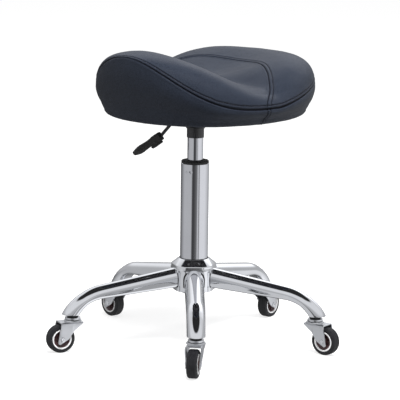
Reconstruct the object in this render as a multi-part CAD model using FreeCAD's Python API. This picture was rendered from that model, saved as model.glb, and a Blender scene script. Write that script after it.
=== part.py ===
import FreeCAD, Part
import math
import os

# Rolling saddle stool. Millimetres, +Z up. The origin is on the floor under the column, and the seat's front is
# towards -Y. Heights build up from the floor: wheel, caster, leg, hub, column, lift, seat.

os.makedirs("parts", exist_ok=True)

# Clearances
RUN = 0.05  # a shaft turning or sliding in its hole
SET = 0.05  # round a piece that is seated for good
GAP = 0.3  # between neighbours that move past each other

# Caster wheels
WHEEL_DIAMETER = 50.0
TYRE_WIDTH = 19.0
TREAD_ROUND = 4.5
RIM_DIAMETER = 36.0
RIM_BAND = 2.8
CORE_RECESS = 1.8
CORE_WEB = 5.0
BOSS_DIAMETER = 13.0
AXLE_DIAMETER = 6.0
RIVET_DIAMETER = 9.0
RIVET_HEIGHT = 1.6

# Caster forks
CASTER_TRAIL = 23.0
FORK_GAP = 22.0
FORK_PLATE = 2.0
FORK_BEND = 3.5
FORK_HEEL = 8.2  # trailing edge of a cheek beyond the axle, at its foot
FORK_SOLE = 8.6  # lowest point of a cheek below the axle
FORK_TOE = 11.0  # where the lower edge turns up, ahead of the axle
FORK_CHIN = 21.5  # where the leading wing starts, ahead of the axle
FORK_CHIN_RISE = 14.5  # height of that place above the axle
CROWN_GAP = 3.0
HOOD_REACH = 3.0  # crown beyond the axle, over the wheel

# Swivel heads and stems
HEAD_DIAMETER = 30.0
RACE_HEIGHT = 2.6
RACE_SPLIT = 0.8
RACE_CIRCLE = 21.0
BALL_DIAMETER = 2.6
BALL_COUNT = 12
CAP_DIAMETER = 27.0
CAP_HEIGHT = 3.6
KINGPIN_DIAMETER = 8.0
KINGPIN_HEAD = 13.0
KINGPIN_HEAD_HEIGHT = 1.6
NECK_DIAMETER = 14.0
NECK_HEIGHT = 5.2
STEM_DIAMETER = 10.0
STEM_LENGTH = 13.0
SOCKET_WALL = 2.0

# Legs
LEG_COUNT = 5
BASE_TURN = -43.5  # direction of the first leg, degrees from +X
CASTER_TURNS = (-10.5, -19.5, -1.5, 3.5, 4.5)  # each fork's trail, from its leg's direction
STEM_CIRCLE = 225.0  # radius that the stems stand on
LEG_TOE = 5.6  # the leg's centre line meets its foot this far outside the stem
LEG_SLOPE = 7.3
LEG_FOOT_SLOPE = 59.0
LEG_TAIL = 12.0  # degrees of bend below the foot, cut away
LEG_BEND = 80.0
LEG_ROOT_HEIGHT = 33.0
LEG_WAIST_HEIGHT = 20.0
LEG_WAIST_SLOPE = 32.0
LEG_FOOT_HEIGHT = 24.0
LEG_ROOT_WIDTH = 35.0
LEG_FOOT_WIDTH = 32.0
LEG_CORNER = 5.0
LEG_ARCH = 0.6  # share of a section's height that its round top takes
LEG_WALL = 2.0
LEG_CAVITY_SLOPE = 28.0  # the hollow stops where the bend reaches this slope

# Hub
HUB_SKIRT = 7.0  # hub below the legs
HUB_BODY_FLAT = 36.5
HUB_RIM_FLAT = 38.0
HUB_NECK = 27.0
HUB_CORNER = 20.0
HUB_RIM_CORNER = 20.0
HUB_FLARE_HEIGHT = 14.0
HUB_RIM_HEIGHT = 5.4
HUB_CONE_HEIGHT = 11.4

# Column and gas lift
COLUMN_DIAMETER = 50.0
COLUMN_WALL = 2.0
COLUMN_TAPER = 2.4  # drop of radius from the hub's top to the column's foot
COLUMN_FOOT = 6.0  # below the hub
COLUMN_EXPOSED = 171.5
COLUMN_FLOOR = 3.0
COLUMN_FLOOR_RISE = 4.0
DIMPLE_DROP = 14.0
DIMPLE_DEPTH = 0.7
DIMPLE_DIAMETER = 3.4
DIMPLE_TURNS = (-84.0, -63.0)
BUSH_LENGTH = 90.0
BUSH_COLLAR_DIAMETER = 49.0
BUSH_COLLAR_HEIGHT = 4.6
LIFT_DIAMETER = 28.0
LIFT_WALL = 2.0
LIFT_END = 6.0
LIFT_TRAVEL = 120.0
LIFT_SHOWN = 41.0  # cylinder between the column's collar and the seat's socket
CONE_LENGTH = 27.0
CONE_TAPER = 0.9
GLAND_LENGTH = 12.0
ROD_DIAMETER = 10.0
PISTON_LENGTH = 10.0
PISTON_RESERVE = 10.0  # cylinder left under the piston at full height
RACE_WASHER_DIAMETER = 34.0
RACE_WASHER_HEIGHT = 2.2
THRUST_BALL_DIAMETER = 5.0
THRUST_BALL_COUNT = 12
THRUST_GAP = 0.1
BUMP_DIAMETER = 26.0
BUMP_HEIGHT = 10.0
CLIP_DIAMETER = 18.0
CLIP_HEIGHT = 1.6
BUTTON_DIAMETER = 8.0
BUTTON_RISE = 5.0
BUTTON_DEPTH = 5.0

# Seat socket, plate and lever
SOCKET_COLLAR_DIAMETER = 30.6
SOCKET_FLANGE_DIAMETER = 33.8
SOCKET_FLANGE_HEIGHT = 3.0
SOCKET_FLANGE_RISE = 16.5
SOCKET_HEIGHT = 40.3
PLATE_DIAMETER = 170.0
PLATE_THICKNESS = 3.0
BOLT_CIRCLE = 140.0
BOLT_COUNT = 4
BOLT_DIAMETER = 6.0
BOLT_HEAD_DIAMETER = 10.0
BOLT_HEAD_HEIGHT = 4.0
BOLT_WASHER_DIAMETER = 16.0
BOLT_WASHER_HEIGHT = 1.2
LEVER_TURN = -155.0
LEVER_SWING = 8.0
LEVER_ARM = 26.0  # column axis to the lever's pin
LEVER_ROD = 6.0
LEVER_TONGUE_WIDTH = 8.0
LEVER_TONGUE = 4.0
LEVER_TIP = 1.0  # tongue beyond the column axis
LEVER_EYE_DIAMETER = 9.0
LEVER_PIN_DIAMETER = 4.0
LEVER_BEND_OUT = 8.8  # pin to the first bend
LEVER_DIP = 50.0
LEVER_DIP_LENGTH = 47.0
LEVER_BEND_RADIUS = 8.0
EAR_PLATE = 2.5
EAR_WIDTH = 10.0
GRIP_DIP = 35.0
GRIP_LENGTH = 66.0
GRIP_BORE = 40.0
GRIP_COLLAR = 14.0
GRIP_COLLAR_LENGTH = 20.0
GRIP_WAIST = 11.6
GRIP_PADDLE_WIDTH = 20.0
GRIP_PADDLE = 13.6
GRIP_TIP_WIDTH = 11.0
GRIP_TIP = 6.4
GRIP_RIB = 3.0

# Seat
BOARD_THICKNESS = 12.0
BOARD_INSET = 16.0
COVER = 2.0
COVER_TURN_IN = 22.0
DUST_COVER = 0.8
DUST_COVER_INSET = 14.0
TEE_NUT_DIAMETER = 18.0
TEE_NUT_FLANGE = 1.4
TEE_NUT_WALL = 1.2
TEE_NUT_LENGTH = 9.0
SEAT_FRONT = 191.0
SEAT_REAR = 204.0
SEAT_HALF_WIDTH = 184.0
SEAT_SETBACK = 19.5  # the widest line, behind the column axis
SEAT_SQUARENESS = 2.1
SEAT_COLUMNS = 32  # points round each ring of the seat
SEAT_DRAW_IN = 22.0  # how far the sides draw in at the foot
CREST_AT = 0.78

# Seat heights above the board's underside: the hollow, the crest inside the seam and the seam itself
SEAT_HOLLOW = 62.2
FRONT_CREST = 118.0
SIDE_CREST = 53.6
REAR_CREST = 99.6
FRONT_SEAM = 112.6
SIDE_SEAM = 28.6
REAR_SEAM = 65.6
SEAT_BELLY = 2.8  # how far the side band swells beyond the seam
SEAT_CORNER = 5.8  # rounding at the foot of the band

# Levels and radii worked out from the sizes above
AXLE_Z = WHEEL_DIAMETER / 2
CROWN_Z = WHEEL_DIAMETER + CROWN_GAP
CROWN_TOP = CROWN_Z + FORK_PLATE
LOWER_RACE_TOP = CROWN_TOP + RACE_HEIGHT
CAP_Z = LOWER_RACE_TOP + RACE_SPLIT
CAP_TOP = CAP_Z + CAP_HEIGHT
FOOT_Z = CAP_TOP + NECK_HEIGHT
SOCKET_RADIUS = STEM_DIAMETER / 2 + SOCKET_WALL

SLOPE = math.radians(LEG_SLOPE)
FOOT_SLOPE = math.radians(LEG_FOOT_SLOPE)
BEND_R = STEM_CIRCLE + LEG_TOE - LEG_BEND * (math.sin(FOOT_SLOPE) - math.sin(SLOPE))
BEND_Z = FOOT_Z + LEG_BEND * (math.cos(SLOPE) - math.cos(FOOT_SLOPE))
ROOT_R = HUB_BODY_FLAT
ROOT_Z = BEND_Z + (BEND_R - ROOT_R) * math.tan(SLOPE)

HUB_Z = ROOT_Z - LEG_ROOT_HEIGHT / 2 - HUB_SKIRT
HUB_RIM_Z = ROOT_Z + LEG_ROOT_HEIGHT / 2
HUB_RIM_TOP = HUB_RIM_Z + HUB_RIM_HEIGHT
HUB_TOP = HUB_RIM_TOP + HUB_CONE_HEIGHT

COLUMN_R = COLUMN_DIAMETER / 2
COLUMN_Z = HUB_Z - COLUMN_FOOT
COLUMN_TOP = HUB_TOP + COLUMN_EXPOSED
FLOOR_Z = COLUMN_Z + COLUMN_FLOOR_RISE
FLOOR_TOP = FLOOR_Z + COLUMN_FLOOR
COLUMN_BORE = COLUMN_R - COLUMN_WALL
COLUMN_FOOT_BORE = COLUMN_BORE - COLUMN_TAPER
BUSH_Z = COLUMN_TOP - BUSH_LENGTH
BUSH_TOP = COLUMN_TOP + BUSH_COLLAR_HEIGHT

LIFT_R = LIFT_DIAMETER / 2
ROD_R = ROD_DIAMETER / 2
THRUST_CIRCLE = (RACE_WASHER_DIAMETER / 2 + ROD_R) / 2
THRUST_Z = FLOOR_TOP + RACE_WASHER_HEIGHT
UPPER_RACE_Z = THRUST_Z + THRUST_BALL_DIAMETER + 2 * THRUST_GAP
BUMP_Z = UPPER_RACE_Z + RACE_WASHER_HEIGHT
LIFT_Z = BUMP_Z + BUMP_HEIGHT + GAP
SOCKET_Z = BUSH_TOP + LIFT_SHOWN
LIFT_TOP = SOCKET_Z + CONE_LENGTH
GLAND_TOP = LIFT_Z + GLAND_LENGTH
PISTON_Z = GLAND_TOP + LIFT_TRAVEL + PISTON_RESERVE
BUTTON_TOP = LIFT_TOP + BUTTON_RISE

PLATE_Z = SOCKET_Z + SOCKET_HEIGHT
SEAT_Z = PLATE_Z + PLATE_THICKNESS
BOARD_TOP = SEAT_Z + BOARD_THICKNESS
PIN_Z = BUTTON_TOP + GAP + LEVER_TONGUE / 2
DIP = math.radians(LEVER_DIP)
LEVER_PRESS = LEVER_ARM * math.sin(math.radians(LEVER_SWING))


def vec(x, y, z):
    """A point or direction."""
    return FreeCAD.Vector(x, y, z)


def cylinder(radius, low, high, x=0.0, y=0.0):
    """An upright cylinder between two heights."""
    return Part.makeCylinder(radius, high - low, vec(x, y, low))


def cone(low_radius, high_radius, low, high):
    """An upright cone frustum on the column axis."""
    return Part.makeCone(low_radius, high_radius, high - low, vec(0, 0, low))


def ring(outer, inner, low, high):
    """An upright ring on the column axis."""
    return cylinder(outer, low, high).cut(cylinder(inner, low - 1, high + 1))


def cross_cylinder(radius, length, x, z):
    """A cylinder along Y, centred on the XZ plane."""
    return Part.makeCylinder(radius, length, vec(x, -length / 2, z), vec(0, 1, 0))


def block(x0, x1, width, z0, z1):
    """A box between two X and two Z values, centred on the XZ plane."""
    return Part.makeBox(x1 - x0, width, z1 - z0, vec(x0, -width / 2, z0))


def arc(start, middle, end):
    """An arc edge through three points."""
    return Part.Arc(start, middle, end).toShape()


def turned(shape, angle, x=0.0, y=0.0):
    """A copy turned about an upright axis."""
    copy = shape.copy()
    copy.rotate(vec(x, y, 0), vec(0, 0, 1), angle)
    return copy


def skin(sections):
    """A smooth solid through sections."""
    return Part.makeLoft(sections, True, False, False, 3)


def spun(points):
    """A solid turned about the Z axis from an outline of (radius, height) points."""
    outline = [vec(r, 0, z) for r, z in points]
    face = Part.Face(Part.makePolygon(outline + outline[:1]))
    return face.revolve(vec(0, 0, 0), vec(0, 0, 1), 360)


def union(shapes):
    """One solid from shapes that overlap."""
    return shapes[0].multiFuse(shapes[1:]).removeSplitter()


def save(node, *shapes):
    """Writes one node from its separate solids."""
    solids = [solid for shape in shapes for solid in shape.Solids]
    Part.makeCompound(solids).exportStep("parts/" + node + ".step")


def leg_angle(index):
    """Direction of a leg, in degrees from +X."""
    return BASE_TURN + index * 360.0 / LEG_COUNT


def caster_place(shape, index):
    """Puts a shape made about the origin, trailing along +X, under its leg."""
    copy = turned(shape, leg_angle(index) + CASTER_TURNS[index])
    heading = math.radians(leg_angle(index))
    copy.translate(vec(STEM_CIRCLE * math.cos(heading), STEM_CIRCLE * math.sin(heading), 0))
    return copy


def stem_place(shape, index):
    """Puts a shape made about the origin under a leg, facing along the leg."""
    copy = shape.copy()
    copy.translate(vec(STEM_CIRCLE, 0, 0))
    return turned(copy, leg_angle(index))


# Caster wheel


def across(shape):
    """Lays a shape turned about Z on the wheel's axle."""
    copy = shape.copy()
    copy.rotate(vec(0, 0, 0), vec(1, 0, 0), 90)
    copy.translate(vec(CASTER_TRAIL, 0, AXLE_Z))
    return copy


def tyre():
    """A rubber band with rounded tread edges."""
    half = TYRE_WIDTH / 2
    outer = WHEEL_DIAMETER / 2
    body = ring(outer, RIM_DIAMETER / 2, -half, half)
    tread = [e for e in body.Edges if e.Length > 2 * math.pi * (outer - 0.01)]
    return across(body.makeFillet(TREAD_ROUND, tread))


def wheel_rim():
    """The pale ring that shows between tyre and core."""
    half = TYRE_WIDTH / 2
    outer = RIM_DIAMETER / 2 - SET
    return across(ring(outer, outer - RIM_BAND, -half, half))


def wheel_core():
    """A dished centre with a boss that runs on the axle."""
    edge = RIM_DIAMETER / 2 - 2 * SET - RIM_BAND
    face = TYRE_WIDTH / 2 - CORE_RECESS
    boss = BOSS_DIAMETER / 2
    boss_half = FORK_GAP / 2 - GAP
    web = CORE_WEB / 2
    lip = (edge + boss) / 2
    bore = AXLE_DIAMETER / 2 + RUN
    outline = [(bore, -boss_half), (boss, -boss_half), (boss, -web - CORE_RECESS), (lip, -web - CORE_RECESS)]
    outline += [(edge, -face), (edge, face), (lip, web + CORE_RECESS), (boss, web + CORE_RECESS)]
    outline += [(boss, boss_half), (bore, boss_half)]
    return across(spun(outline))


def axle():
    """A rivet through both cheeks, with a domed head each side."""
    half = FORK_GAP / 2 + FORK_PLATE
    shank = cylinder(AXLE_DIAMETER / 2, -half, half)
    head = cone(RIVET_DIAMETER / 2, AXLE_DIAMETER / 2, half, half + RIVET_HEIGHT)
    other = head.mirror(vec(0, 0, 0), vec(0, 0, 1))
    return across(union([shank, head, other]))


# Caster fork


def fork_side():
    """The fork's outline from the side, as a prism across its whole width."""
    lead = -HEAD_DIAMETER / 2
    hood = CASTER_TRAIL + HOOD_REACH
    heel = vec(CASTER_TRAIL + FORK_HEEL, 0, AXLE_Z - FORK_SOLE * 0.4)
    turn = vec(CASTER_TRAIL + FORK_HEEL * 0.88, 0, AXLE_Z - FORK_SOLE * 0.87)
    sole = vec(CASTER_TRAIL + FORK_HEEL * 0.5, 0, AXLE_Z - FORK_SOLE)
    corners = [sole, vec(CASTER_TRAIL - FORK_TOE, 0, AXLE_Z), vec(CASTER_TRAIL - FORK_CHIN, 0, AXLE_Z + FORK_CHIN_RISE)]
    corners += [vec(lead, 0, CROWN_Z), vec(lead, 0, CROWN_TOP), vec(hood, 0, CROWN_TOP), vec(hood, 0, CROWN_Z), heel]
    edges = [arc(heel, turn, sole)] + [Part.makeLine(a, b) for a, b in zip(corners, corners[1:])]
    width = FORK_GAP + 2 * FORK_PLATE
    face = Part.Face(Part.Wire(Part.__sortEdges__(edges)))
    prism = face.extrude(vec(0, width, 0))
    prism.translate(vec(0, -width / 2, 0))
    return prism


def fork_channel():
    """A bent plate: crown above, cheek each side, as long as the fork."""
    lead = -HEAD_DIAMETER / 2
    foot = AXLE_Z - FORK_SOLE - 1
    rear = CASTER_TRAIL + FORK_HEEL + 1
    outer = block(lead, rear, FORK_GAP + 2 * FORK_PLATE, foot, CROWN_TOP)
    inner = block(lead - 1, rear + 1, FORK_GAP, foot - 1, CROWN_Z)
    bends = [e for e in outer.Edges if abs(e.BoundBox.ZMin - CROWN_TOP) < 0.01 and e.BoundBox.YLength < 0.01]
    return outer.makeFillet(FORK_BEND, bends).cut(inner)


def race_groove(height):
    """The ring that the swivel balls run in."""
    return Part.makeTorus(RACE_CIRCLE / 2, BALL_DIAMETER / 2 + RUN, vec(0, 0, height))


def ball_height():
    """Height of the swivel balls' centres."""
    return LOWER_RACE_TOP + RACE_SPLIT / 2


def fork():
    """Pressed fork with its lower race and the holes for king pin and axle."""
    head = cylinder(HEAD_DIAMETER / 2, CROWN_TOP, LOWER_RACE_TOP)
    body = union([fork_channel().common(fork_side()), head])
    body = body.cut(cylinder(KINGPIN_DIAMETER / 2 + RUN, CROWN_Z - 1, LOWER_RACE_TOP + 1))
    body = body.cut(race_groove(ball_height()))
    hole = cross_cylinder(AXLE_DIAMETER / 2 + SET, FORK_GAP * 2, CASTER_TRAIL, AXLE_Z)
    return body.cut(hole)


def caster_stem():
    """Fixed upper race with the king pin below it and the stem above."""
    pin_head_top = CROWN_Z - GAP
    pieces = [
        cylinder(KINGPIN_HEAD / 2, pin_head_top - KINGPIN_HEAD_HEIGHT, pin_head_top),
        cylinder(KINGPIN_DIAMETER / 2, pin_head_top, CAP_Z),
        cylinder(CAP_DIAMETER / 2, CAP_Z, CAP_TOP),
        cylinder(NECK_DIAMETER / 2, CAP_TOP, FOOT_Z),
        cylinder(STEM_DIAMETER / 2, FOOT_Z, FOOT_Z + STEM_LENGTH),
    ]
    return union(pieces).cut(race_groove(ball_height()))


def swivel_balls():
    """One ring of balls between the races."""
    ball = Part.makeSphere(BALL_DIAMETER / 2, vec(RACE_CIRCLE / 2, 0, ball_height()))
    return [turned(ball, i * 360.0 / BALL_COUNT) for i in range(BALL_COUNT)]


def stem_socket():
    """A bush in the leg's foot that takes the stem."""
    top = FOOT_Z + STEM_LENGTH + SOCKET_WALL
    bore = cylinder(STEM_DIAMETER / 2 + SET, FOOT_Z - 1, FOOT_Z + STEM_LENGTH + SET)
    return cylinder(SOCKET_RADIUS, FOOT_Z, top).cut(bore)


# Leg


def leg_point(slope):
    """Centre line point on the bend where it has this slope, as (radius, height)."""
    out = BEND_R + LEG_BEND * (math.sin(slope) - math.sin(SLOPE))
    return out, BEND_Z - LEG_BEND * (math.cos(SLOPE) - math.cos(slope))


def leg_stations(last_slope):
    """Stations along the leg: (radius, height, slope, section height, section width)."""
    waist = math.radians(LEG_WAIST_SLOPE)
    waist_r = leg_point(waist)[0]
    foot_r = STEM_CIRCLE + LEG_TOE
    inner_r = ROOT_R - HUB_CORNER
    straight = [inner_r, (inner_r + BEND_R) / 3, (inner_r + BEND_R) * 2 / 3]
    steps = 6
    bends = [SLOPE + (last_slope - SLOPE) * i / steps for i in range(steps + 1)]
    places = [(r, ROOT_Z - (r - ROOT_R) * math.tan(SLOPE), SLOPE) for r in straight]
    places += [leg_point(s) + (s,) for s in bends]
    stations = []
    for r, z, slope in places:
        along = (r - ROOT_R) / (waist_r - ROOT_R)
        height = LEG_ROOT_HEIGHT + (LEG_WAIST_HEIGHT - LEG_ROOT_HEIGHT) * along
        if r > waist_r:
            share = min((r - waist_r) / (foot_r - waist_r), 1.0)
            height = LEG_WAIST_HEIGHT + (LEG_FOOT_HEIGHT - LEG_WAIST_HEIGHT) * share
        width = LEG_ROOT_WIDTH + (LEG_FOOT_WIDTH - LEG_ROOT_WIDTH) * (r - ROOT_R) / (foot_r - ROOT_R)
        stations.append((r, z, slope, height, width))
    return stations


def leg_section(r, z, slope, height, width, inset):
    """Arched section square to the leg's centre line."""
    half = width / 2 - inset
    low = -height / 2 + inset
    high = height / 2 - inset
    corner = LEG_CORNER - inset
    spring = high - min(LEG_ARCH * (high - low), half * 0.98)
    diagonal = corner * (1 - math.sqrt(0.5))

    def at(side, up):
        return vec(r + up * math.sin(slope), side, z + up * math.cos(slope))

    edges = [
        Part.makeLine(at(-half + corner, low), at(half - corner, low)),
        arc(at(half - corner, low), at(half - diagonal, low + diagonal), at(half, low + corner)),
        Part.makeLine(at(half, low + corner), at(half, spring)),
        arc(at(half, spring), at(0, high), at(-half, spring)),
        Part.makeLine(at(-half, spring), at(-half, low + corner)),
        arc(at(-half, low + corner), at(-half + diagonal, low + diagonal), at(-half + corner, low)),
    ]
    return Part.Wire(edges)


def leg_loft(last_slope, inset):
    """The leg's outer form, or its hollow where an inset is given."""
    return skin([leg_section(*s, inset) for s in leg_stations(last_slope)])


def leg(hub_block):
    """A hollow arched leg along +X, butted on the hub and cut flat at the foot."""
    outer = leg_loft(FOOT_SLOPE + math.radians(LEG_TAIL), 0.0)
    hollow = leg_loft(math.radians(LEG_CAVITY_SLOPE), LEG_WALL)
    below = block(0, 2 * STEM_CIRCLE, STEM_CIRCLE, 0, FOOT_Z)
    socket_hole = cylinder(SOCKET_RADIUS + SET, FOOT_Z - 1, FOOT_Z + STEM_LENGTH + SOCKET_WALL + SET, STEM_CIRCLE)
    return outer.cut(hub_block).cut(hollow).cut(below).cut(socket_hole)


# Hub


def pentagon(flat, corner, z):
    """A round-cornered polygon with a flat towards each leg."""
    half_angle = math.pi / LEG_COUNT
    reach = (flat - corner) / math.cos(half_angle)
    edges = []
    for i in range(LEG_COUNT):
        heading = math.radians(leg_angle(i))
        point = vec(reach * math.cos(heading + half_angle), reach * math.sin(heading + half_angle), z)
        turns = [heading, heading + half_angle, heading + 2 * half_angle]
        start, middle, end = [point + vec(corner * math.cos(a), corner * math.sin(a), 0) for a in turns]
        edges.append(arc(start, middle, end))
        after = heading + 3 * half_angle
        follow = vec(reach * math.cos(after), reach * math.sin(after), z)
        next_start = follow + vec(corner * math.cos(turns[2]), corner * math.sin(turns[2]), 0)
        edges.append(Part.makeLine(end, next_start))
    return Part.Wire(edges)


def hub_block():
    """The hub's outside: body, flare, rim and a cone that rounds off at the neck."""
    levels = [
        (HUB_BODY_FLAT, HUB_CORNER, HUB_Z),
        (HUB_BODY_FLAT, HUB_CORNER, HUB_RIM_Z - HUB_FLARE_HEIGHT),
        (HUB_RIM_FLAT, HUB_RIM_CORNER, HUB_RIM_Z),
        (HUB_RIM_FLAT, HUB_RIM_CORNER, HUB_RIM_TOP),
        (HUB_NECK, HUB_NECK - 1.0, HUB_TOP),
    ]
    return Part.makeLoft([pentagon(*level) for level in levels], True, True)


def column_radius(z):
    """Outside radius of the column inside the hub."""
    return COLUMN_R - COLUMN_TAPER * (HUB_TOP - z) / (HUB_TOP - COLUMN_Z)


def hub():
    """Hub with the tapered socket for the column."""
    low, high = HUB_Z - 1, HUB_TOP + 1
    return hub_block().cut(cone(column_radius(low) + SET, column_radius(high) + SET, low, high))


# Column and gas lift


def column_tube():
    """Outer tube with a tapered foot, a floor for the bearing and two crimps that hold the bush."""
    outside = union([cone(column_radius(COLUMN_Z), COLUMN_R, COLUMN_Z, HUB_TOP), cylinder(COLUMN_R, HUB_TOP, COLUMN_TOP)])
    bore = union([
        cone(COLUMN_FOOT_BORE, COLUMN_BORE, COLUMN_Z, HUB_TOP),
        cylinder(COLUMN_BORE, HUB_TOP, COLUMN_TOP + 1),
        cylinder(COLUMN_FOOT_BORE, COLUMN_Z - 1, COLUMN_Z),
    ])
    floor = cylinder(column_radius(FLOOR_Z), FLOOR_Z, FLOOR_TOP).cut(cylinder(ROD_R + RUN, FLOOR_Z - 1, FLOOR_TOP + 1))
    body = union([outside.cut(bore), floor])
    dimple_r = DIMPLE_DIAMETER / 2
    for turn in DIMPLE_TURNS:
        place = vec(COLUMN_R + dimple_r - DIMPLE_DEPTH, 0, COLUMN_TOP - DIMPLE_DROP)
        body = body.cut(turned(Part.makeSphere(dimple_r, place), turn))
    return body


def guide_bush():
    """Plastic sleeve that guides the cylinder, with a collar on the column's rim."""
    sleeve = cylinder(COLUMN_BORE - SET, BUSH_Z, COLUMN_TOP)
    collar = cylinder(BUSH_COLLAR_DIAMETER / 2, COLUMN_TOP, BUSH_TOP)
    collar = collar.makeChamfer(BUSH_COLLAR_HEIGHT / 5, [e for e in collar.Edges if e.BoundBox.ZMin > BUSH_TOP - 0.01])
    return union([sleeve, collar]).cut(cylinder(LIFT_R + RUN, BUSH_Z - 1, BUSH_TOP + 1))


def bearing_race(low):
    """A washer of the thrust bearing, clear of the rod."""
    return ring(RACE_WASHER_DIAMETER / 2, ROD_R + RUN, low, low + RACE_WASHER_HEIGHT)


def bearing_balls():
    """The ring of balls that carries the seat."""
    place = vec(THRUST_CIRCLE, 0, THRUST_Z + THRUST_GAP + THRUST_BALL_DIAMETER / 2)
    ball = Part.makeSphere(THRUST_BALL_DIAMETER / 2, place)
    return [turned(ball, i * 360.0 / THRUST_BALL_COUNT) for i in range(THRUST_BALL_COUNT)]


def lift_cylinder():
    """Pressure cylinder: tapered top with a hole for the button, open foot for the gland."""
    shell = union([cylinder(LIFT_R, LIFT_Z, SOCKET_Z), cone(LIFT_R, LIFT_R - CONE_TAPER, SOCKET_Z, LIFT_TOP)])
    shell = shell.cut(cylinder(LIFT_R - LIFT_WALL, LIFT_Z - 1, LIFT_TOP - LIFT_END))
    return shell.cut(cylinder(BUTTON_DIAMETER / 2 + RUN, LIFT_TOP - LIFT_END - 1, LIFT_TOP + 1))


def release_button():
    """Valve button with a flange that keeps it in the cylinder."""
    stem = cylinder(BUTTON_DIAMETER / 2, LIFT_TOP - LIFT_END - BUTTON_DEPTH, BUTTON_TOP)
    return stem.makeChamfer(BUTTON_DIAMETER / 10, [e for e in stem.Edges if e.BoundBox.ZMin > BUTTON_TOP - 0.01])


def cone_socket():
    """Collar under the seat plate that grips the cylinder's cone, slotted for the lever."""
    outer = cylinder(SOCKET_COLLAR_DIAMETER / 2, SOCKET_Z, PLATE_Z)
    flange_z = SOCKET_Z + SOCKET_FLANGE_RISE
    flange = cylinder(SOCKET_FLANGE_DIAMETER / 2, flange_z, flange_z + SOCKET_FLANGE_HEIGHT)
    slope = CONE_TAPER / CONE_LENGTH
    rise = SOCKET_HEIGHT + 2
    bore = cone(LIFT_R + SET + slope, LIFT_R + SET + slope - slope * rise, SOCKET_Z - 1, PLATE_Z + 1)
    slot_width = LEVER_TONGUE_WIDTH + 2 * GAP
    slot_low = PIN_Z - LEVER_TONGUE / 2 - LEVER_PRESS - GAP
    slot = block(0, SOCKET_FLANGE_DIAMETER, slot_width, slot_low, PLATE_Z + 1)
    return union([outer, flange]).cut(bore).cut(turned(slot, LEVER_TURN))


# Lever, built along +X and then turned to its own direction


def lever_corner():
    """The first bend and the second bend, as (distance, height)."""
    first = LEVER_ARM + LEVER_BEND_OUT
    return (first, PIN_Z), (first + LEVER_DIP_LENGTH * math.cos(DIP), PIN_Z - LEVER_DIP_LENGTH * math.sin(DIP))


def bent_wire(points, radius):
    """A path of straight runs with a round bend at each inner point."""
    edges = []
    start = points[0]
    for before, corner, after in zip(points, points[1:], points[2:]):
        into = (corner - before).normalize()
        out = (after - corner).normalize()
        half = into.getAngle(out) / 2
        setback = radius * math.tan(half)
        enter = corner - into * setback
        leave = corner + out * setback
        inward = (out - into).normalize()
        middle = corner + inward * (radius / math.cos(half) - radius)
        edges += [Part.makeLine(start, enter), arc(enter, middle, leave)]
        start = leave
    edges.append(Part.makeLine(start, points[-1]))
    return Part.Wire(edges)


def grip_axis(distance):
    """A point along the grip, measured from the second bend."""
    slope = math.radians(GRIP_DIP)
    _, (x, z) = lever_corner()
    return vec(x + distance * math.cos(slope), 0, z - distance * math.sin(slope))


def lever_rod():
    """Bent rod with an eye on the pin and a flat tongue over the button."""
    (x1, z1), (x2, z2) = lever_corner()
    path = bent_wire([vec(LEVER_ARM, 0, PIN_Z), vec(x1, 0, z1), vec(x2, 0, z2), grip_axis(GRIP_BORE)], LEVER_BEND_RADIUS)
    section = Part.Wire(Part.makeCircle(LEVER_ROD / 2, vec(LEVER_ARM, 0, PIN_Z), vec(1, 0, 0)))
    rod = path.makePipeShell([section], True, False)
    tongue = block(-LEVER_TIP, LEVER_ARM, LEVER_TONGUE_WIDTH, PIN_Z - LEVER_TONGUE / 2, PIN_Z + LEVER_TONGUE / 2)
    eye = cross_cylinder(LEVER_EYE_DIAMETER / 2, LEVER_TONGUE_WIDTH, LEVER_ARM, PIN_Z)
    hole = cross_cylinder(LEVER_PIN_DIAMETER / 2 + RUN, 2 * LEVER_TONGUE_WIDTH, LEVER_ARM, PIN_Z)
    return turned(union([tongue, eye, rod]).cut(hole), LEVER_TURN)


def grip_section(distance, width, thick):
    """A pill-cornered section square to the grip."""
    slope = math.radians(GRIP_DIP)
    centre = grip_axis(distance)
    up = vec(math.sin(slope), 0, math.cos(slope))
    side = vec(0, 1, 0)
    corner = min(width, thick) * 0.42
    across_flat = width / 2 - corner
    up_flat = thick / 2 - corner

    def at(right, rise):
        return centre + side * right + up * rise

    edges = []
    for right, rise in ((1, 1), (-1, 1), (-1, -1), (1, -1)):
        bend = [at(right * (across_flat + corner), rise * up_flat)]
        bend.append(at(right * (across_flat + corner * math.sqrt(0.5)), rise * (up_flat + corner * math.sqrt(0.5))))
        bend.append(at(right * across_flat, rise * (up_flat + corner)))
        if right != rise:
            bend.reverse()
        edges.append(arc(*bend))
    lines = [Part.makeLine(a.Vertexes[-1].Point, b.Vertexes[0].Point) for a, b in zip(edges, edges[1:] + edges[:1])]
    return Part.Wire([edge for pair in zip(edges, lines) for edge in pair])


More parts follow.
